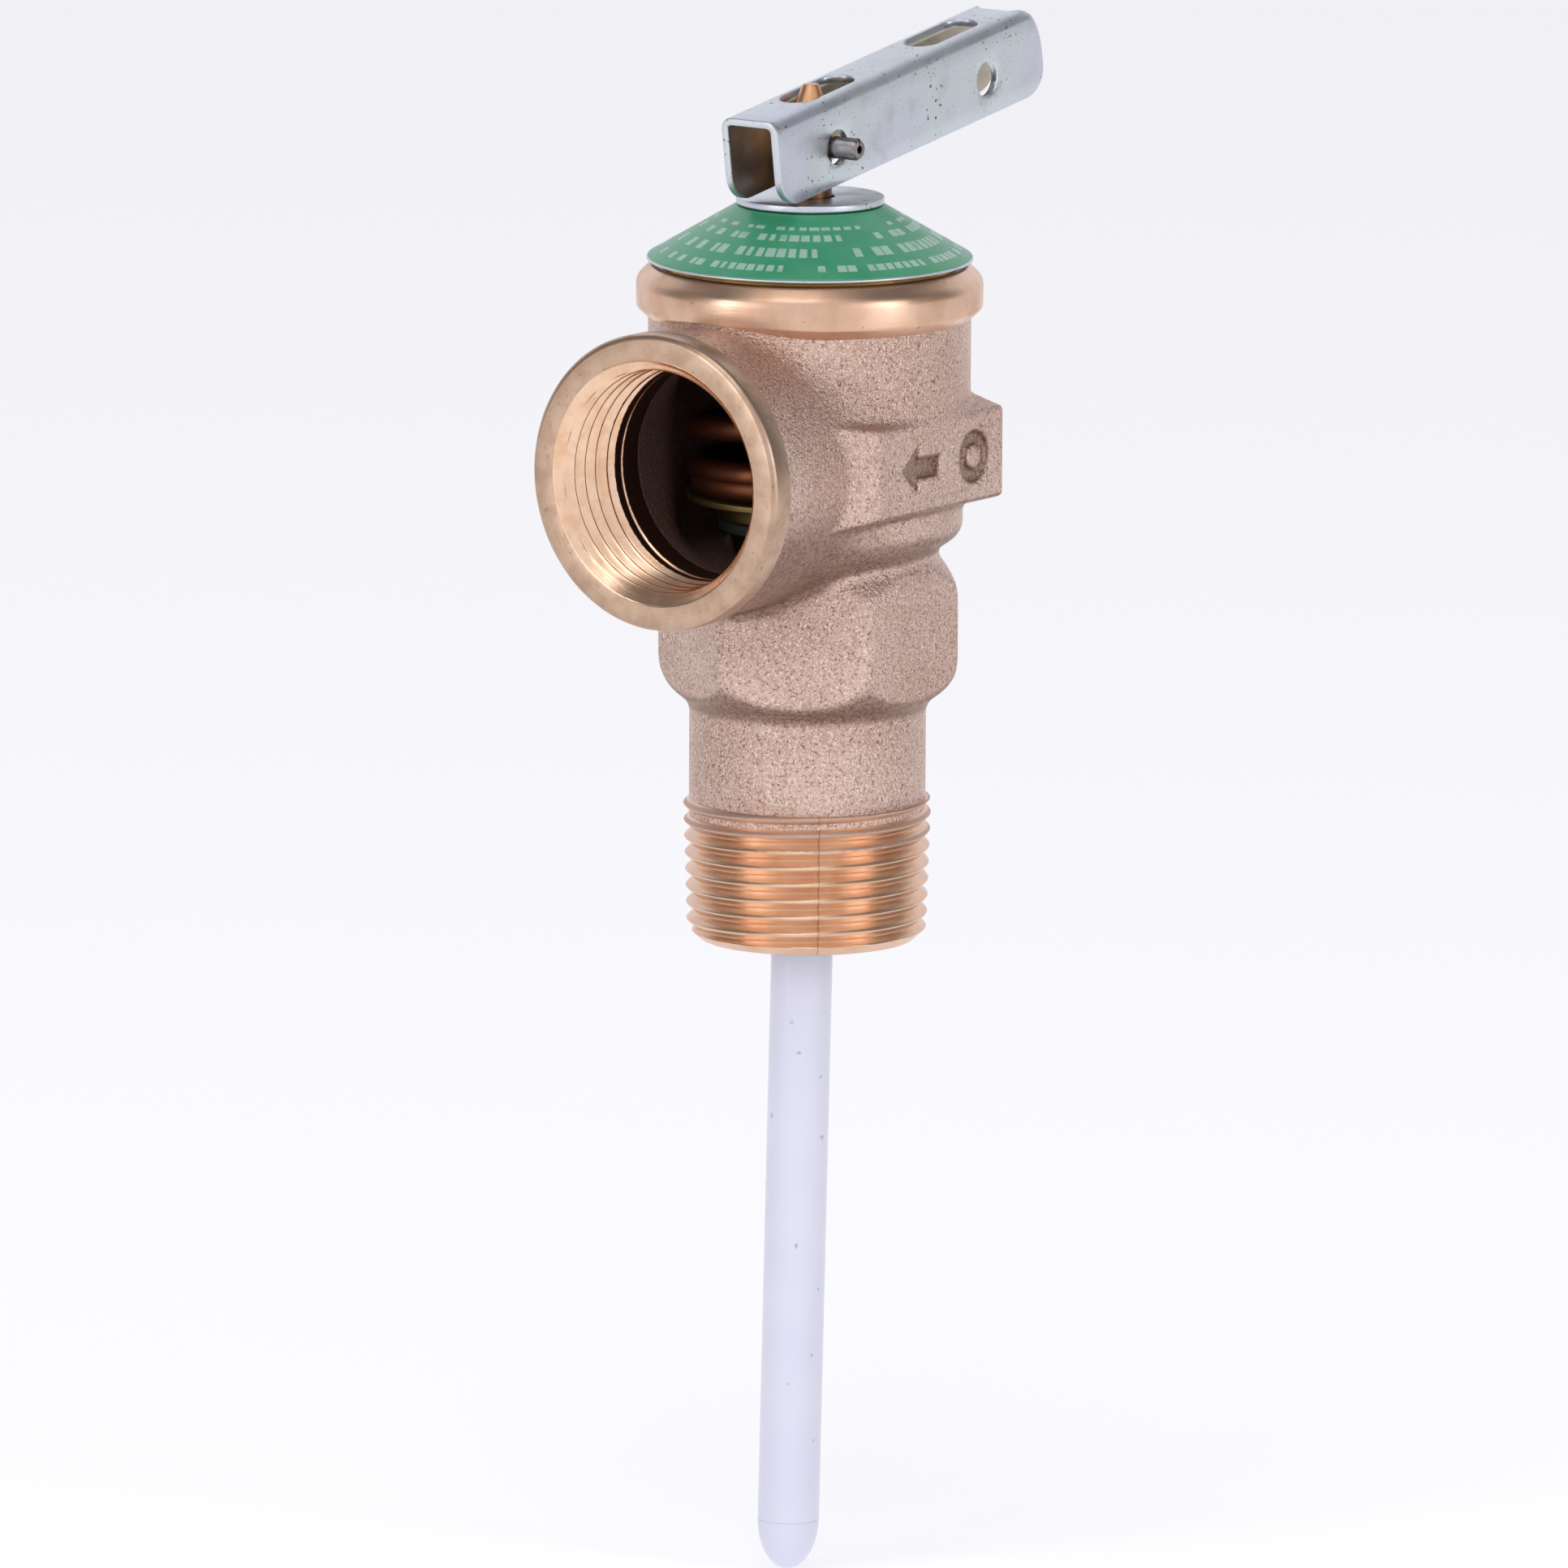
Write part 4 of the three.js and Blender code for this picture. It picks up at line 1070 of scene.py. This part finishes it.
def lever():
    """The channel is cut as a flat blank, folded about its two bends, and given its thickness."""
    points, triangles = lever_blank()
    cos_t, sin_t = math.cos(LEVER_TILT), math.sin(LEVER_TILT)
    verts = []
    for point in points:
        s, across, up = fold(*point)
        verts.append((across, s * cos_t - up * sin_t, PIN_Z + s * sin_t + up * cos_t))
    piece = solid("lever", verts, triangles, LEVER_ZINC, 40, "lever")
    bpy.context.view_layer.objects.active = piece
    thick = piece.modifiers.new("sheet", "SOLIDIFY")
    thick.thickness = LEVER["sheet"] * MM
    thick.offset = 0
    thick.use_even_offset = True
    soft = piece.modifiers.new("edges", "BEVEL")
    soft.width = 0.12 * MM
    soft.segments = 2
    soft.limit_method = "ANGLE"
    soft.angle_limit = math.radians(50)
    apply_modifiers(piece)
    shade(piece.data, 45)
    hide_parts("test_lever")


def apply_modifiers(obj):
    """Turns the result of the modifiers into the object's own mesh."""
    graph = bpy.context.evaluated_depsgraph_get()
    mesh = bpy.data.meshes.new_from_object(obj.evaluated_get(graph))
    obj.modifiers.clear()
    obj.data = mesh


def lean(points):
    """Leans points of the probe as its CAD pieces lean, about the collar."""
    tip = (TIP_LOW + TIP_HIGH) / 2
    points = np.array(points, float)
    share = (COLLAR_Z - points[:, 2:]) / (COLLAR_Z - tip[2])
    points[:, :2] += share * tip[:2]
    return points


def probe():
    """Plastic coated tube with a moulded end cap, and a fine seam between them."""
    seam = TIP_HIGH[2] - 0.05
    top = SHEATH_HIGH[2]
    verts, faces = turned(rounded([
        (SHEATH_BORE_R, seam, 0), (PROBE_R, seam, 0.05), (PROBE_R, top, 0.3), (SHEATH_BORE_R, top, 0),
    ]), 96)
    sheath = solid("sheath", lean(verts), faces, COATING)
    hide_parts("probe_sheath")
    nose = arc((0, seam), (PROBE_R, TIP_LOW[2] - seam), 1, 0, 24)
    nose += [(PROBE_R - 0.05, seam - 0.02), (0, seam - 0.02)]
    verts, faces = turned(nose, 96)
    cap = solid("sheath_cap", lean(verts), faces, COATING)
    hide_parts("probe_tip")


def disc_group():
    """Disc holder, a flanged cup on a hub, and the rubber seal under it."""
    low, high = DISC_LOW[2], DISC_HIGH[2]
    bore_r, foot_r, flange_r = 2.45, 2.0, DISC_HIGH[0]
    bore_z, hub_z = low + 4.7, low + 3.2
    flange_low, flange_top = SPRING_LOW[2] - 0.9, SPRING_LOW[2] - 0.1
    holder = lathe("disc_cup", [
        (bore_r, high, 0.1), (bore_r, bore_z, 0), (foot_r, bore_z, 0), (foot_r, hub_z, 0), (HUB_R, hub_z, 0),
        (HUB_R, low, 0.1), (CUP_R, low, 0.3), (CUP_R, flange_low, 0.1), (flange_r, flange_low, 0.2),
        (flange_r, flange_top, 0.2), (CUP_R, flange_top, 0.1), (CUP_R, high, 0.3),
    ], DULL_SHADED_BRASS, "disc")
    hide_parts("disc_holder")
    hole, rim, under, top = 5.2, SEAL_HIGH[0], SEAL_LOW[2], SEAL_HIGH[2]
    seal = lathe("seal_ring", [
        (hole, under, 0.15), (rim, under, 0.3), (rim, top, 0.2), (hole, top, 0),
    ], RUBBER, "disc")
    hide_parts("seat_seal")


def main_spring():
    """A coil that eases to flat ends."""
    sides, steps = 20, 300
    coil = SPRING_HIGH[0] - WIRE_R
    low, high = SPRING_LOW[2] + WIRE_R, SPRING_HIGH[2] - WIRE_R
    verts = []
    for t in np.linspace(0, 1, steps + 1):
        angle = t * SPRING_TURNS * 2 * math.pi + SPRING_START
        z = low + (high - low) * (t - math.sin(2 * math.pi * t) / (2 * math.pi) * SPRING_EASE)
        out = np.array([math.cos(angle), math.sin(angle), 0])
        for k in range(sides):
            a = 2 * math.pi * k / sides
            verts.append(out * (coil + WIRE_R * math.cos(a)) + (0, 0, z + WIRE_R * math.sin(a)))
    faces = [list(range(sides))[::-1], [steps * sides + k for k in range(sides)]]
    for i in range(steps):
        for k in range(sides):
            m = (k + 1) % sides
            faces.append((i * sides + k, i * sides + m, (i + 1) * sides + m, (i + 1) * sides + k))
    piece = solid("spring", verts, faces, SHADED_COPPER, 50)
    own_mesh(piece)
    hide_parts("main_spring")


CARRIED = {
    "bonnet": BRASS, "bonnet_gasket": RUBBER, "stem_bush": BRASS, "spring_upper_seat": STEEL,
    "stem_clip": STEEL, "seal_retainer": BRASS, "retainer_nut": STEEL, "thermostat_collar": BRASS,
    "collar_ring": STEEL, "thermostat_case": SHADED_COPPER, "wax_charge": WAX, "thermostat_boot": RUBBER,
    "thermostat_guide": BRASS, "thermostat_plunger": STEEL,
}


def carried_nodes():
    """Pieces shut inside the valve keep their CAD shape and get a material."""
    for name, material in CARRIED.items():
        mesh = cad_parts[name].data
        mesh.materials.clear()
        mesh.materials.append(material)


# ---- stage, light and camera ----

# lengths here are metres and angles are degrees
VIEW_AZIMUTH = 35.5
VIEW_ELEVATION = 10.3
VIEW_DISTANCE = 2.2
VIEW_WIDTH = 0.17022  # what the frame shows at the valve's axis
VIEW_ROLL = 0.28
VIEW_CENTRE_Z = 0.0167
VIEW_SHIFT = 0.00252  # the valve stands this far right of the frame's middle
SENSOR_WIDTH = 36
STAGE_CENTRE = (0, 0, 0.03)


def floor():
    """A plain pale floor, just under the probe's tip."""
    mesh = bpy.data.meshes.new("floor")
    size = 6.0
    z = TIP_LOW[2] * MM - 0.0005
    corners = [(-size, -size, z), (size, -size, z), (size, size, z), (-size, size, z)]
    mesh.from_pydata(corners, [], [(0, 1, 2, 3)])
    obj = add_object("floor", mesh)
    glow = {"Emission_Color": (1, 1, 1, 1), "Emission_Strength": 0.46}
    mesh.materials.append(Nodes("floor_white").finish(linear(222, 222, 224), 0.9, 0.0, **glow))


def aim(obj, place, target, roll=0.0):
    """Puts a camera or light at a place, looking at the target."""
    forward = (Vector(target) - Vector(place)).normalized()
    right = forward.cross(Vector((0, 0, 1))).normalized()
    up = right.cross(forward)
    turn = Matrix((right, up, -forward)).transposed().to_4x4()
    obj.matrix_world = Matrix.Translation(place) @ turn @ Matrix.Rotation(math.radians(roll), 4, "Z")


def around(azimuth, elevation, distance, target):
    """A place seen from the target at an azimuth (0 is -Y, 90 is +X) and an elevation."""
    a, e = math.radians(azimuth), math.radians(elevation)
    back = Vector((math.sin(a) * math.cos(e), -math.cos(a) * math.cos(e), math.sin(e)))
    return Vector(target) + back * distance


def camera():
    """The photograph's view: a long lens from a little above."""
    data = bpy.data.cameras.new("camera")
    obj = add_object("camera", data)
    bpy.context.scene.camera = obj
    a = math.radians(VIEW_AZIMUTH)
    right = Vector((math.cos(a), math.sin(a), 0))
    target = Vector((0, 0, VIEW_CENTRE_Z)) - right * VIEW_SHIFT
    data.sensor_width = SENSOR_WIDTH
    data.lens = SENSOR_WIDTH * VIEW_DISTANCE / VIEW_WIDTH
    data.clip_end = 50
    aim(obj, around(VIEW_AZIMUTH, VIEW_ELEVATION, VIEW_DISTANCE, target), target, VIEW_ROLL)


def softbox(name, azimuth, elevation, distance, width, height, power):
    """A rectangular area light that faces the valve."""
    data = bpy.data.lights.new(name, "AREA")
    data.shape = "RECTANGLE"
    data.size, data.size_y = width, height
    data.energy = power
    place = around(azimuth, elevation, distance, STAGE_CENTRE)
    aim(add_object(name, data), place, STAGE_CENTRE)


def world_light():
    """A soft room: white behind the valve, dim at its sides, and pale on the camera's side."""
    world = bpy.data.worlds.new("studio")
    bpy.context.scene.world = world
    world.use_nodes = True
    tree = world.node_tree
    coord = tree.nodes.new("ShaderNodeTexCoord")
    toward = tree.nodes.new("ShaderNodeVectorMath")
    toward.operation = "DOT_PRODUCT"
    tree.links.new(coord.outputs["Generated"], toward.inputs[0])
    a = math.radians(VIEW_AZIMUTH)
    toward.inputs[1].default_value = (math.sin(a), -math.cos(a), 0)
    share = tree.nodes.new("ShaderNodeMapRange")
    tree.links.new(toward.outputs["Value"], share.inputs["Value"])
    share.inputs["From Min"].default_value = -1
    fade = tree.nodes.new("ShaderNodeValToRGB")
    tree.links.new(share.outputs["Result"], fade.inputs["Fac"])
    stops = fade.color_ramp.elements
    for place in (0.2, 0.32, 0.65, 0.75):
        stops.new(place)
    for stop, level in zip(stops, (1.0, 1.0, 0.25, 0.15, 0.75, 1.05)):
        stop.color = (level * 0.93, level * 0.93, level, 1)
    tree.links.new(fade.outputs["Color"], tree.nodes["Background"].inputs["Color"])


def lights():
    """Two narrow softboxes, a wider one beside each, a large one above, and the room."""
    softbox("left_box", VIEW_AZIMUTH - 58, 10, 1.2, 0.24, 1.0, 2.1)
    softbox("right_box", VIEW_AZIMUTH + 58, 10, 1.2, 0.24, 1.0, 2.1)
    softbox("left_skirt", VIEW_AZIMUTH - 44, 10, 1.25, 0.4, 1.0, 1.2)
    softbox("right_skirt", VIEW_AZIMUTH + 46, 10, 1.25, 0.4, 1.0, 1.2)
    softbox("top_box", VIEW_AZIMUTH - 20, 66, 1.3, 0.8, 0.8, 3.0)
    world_light()
    bpy.context.scene.view_settings.view_transform = "Standard"


valve_body()
nameplate()
washer()
stem()
lever_pin()
lever()
probe()
disc_group()
main_spring()
carried_nodes()
floor()
camera()
lights()
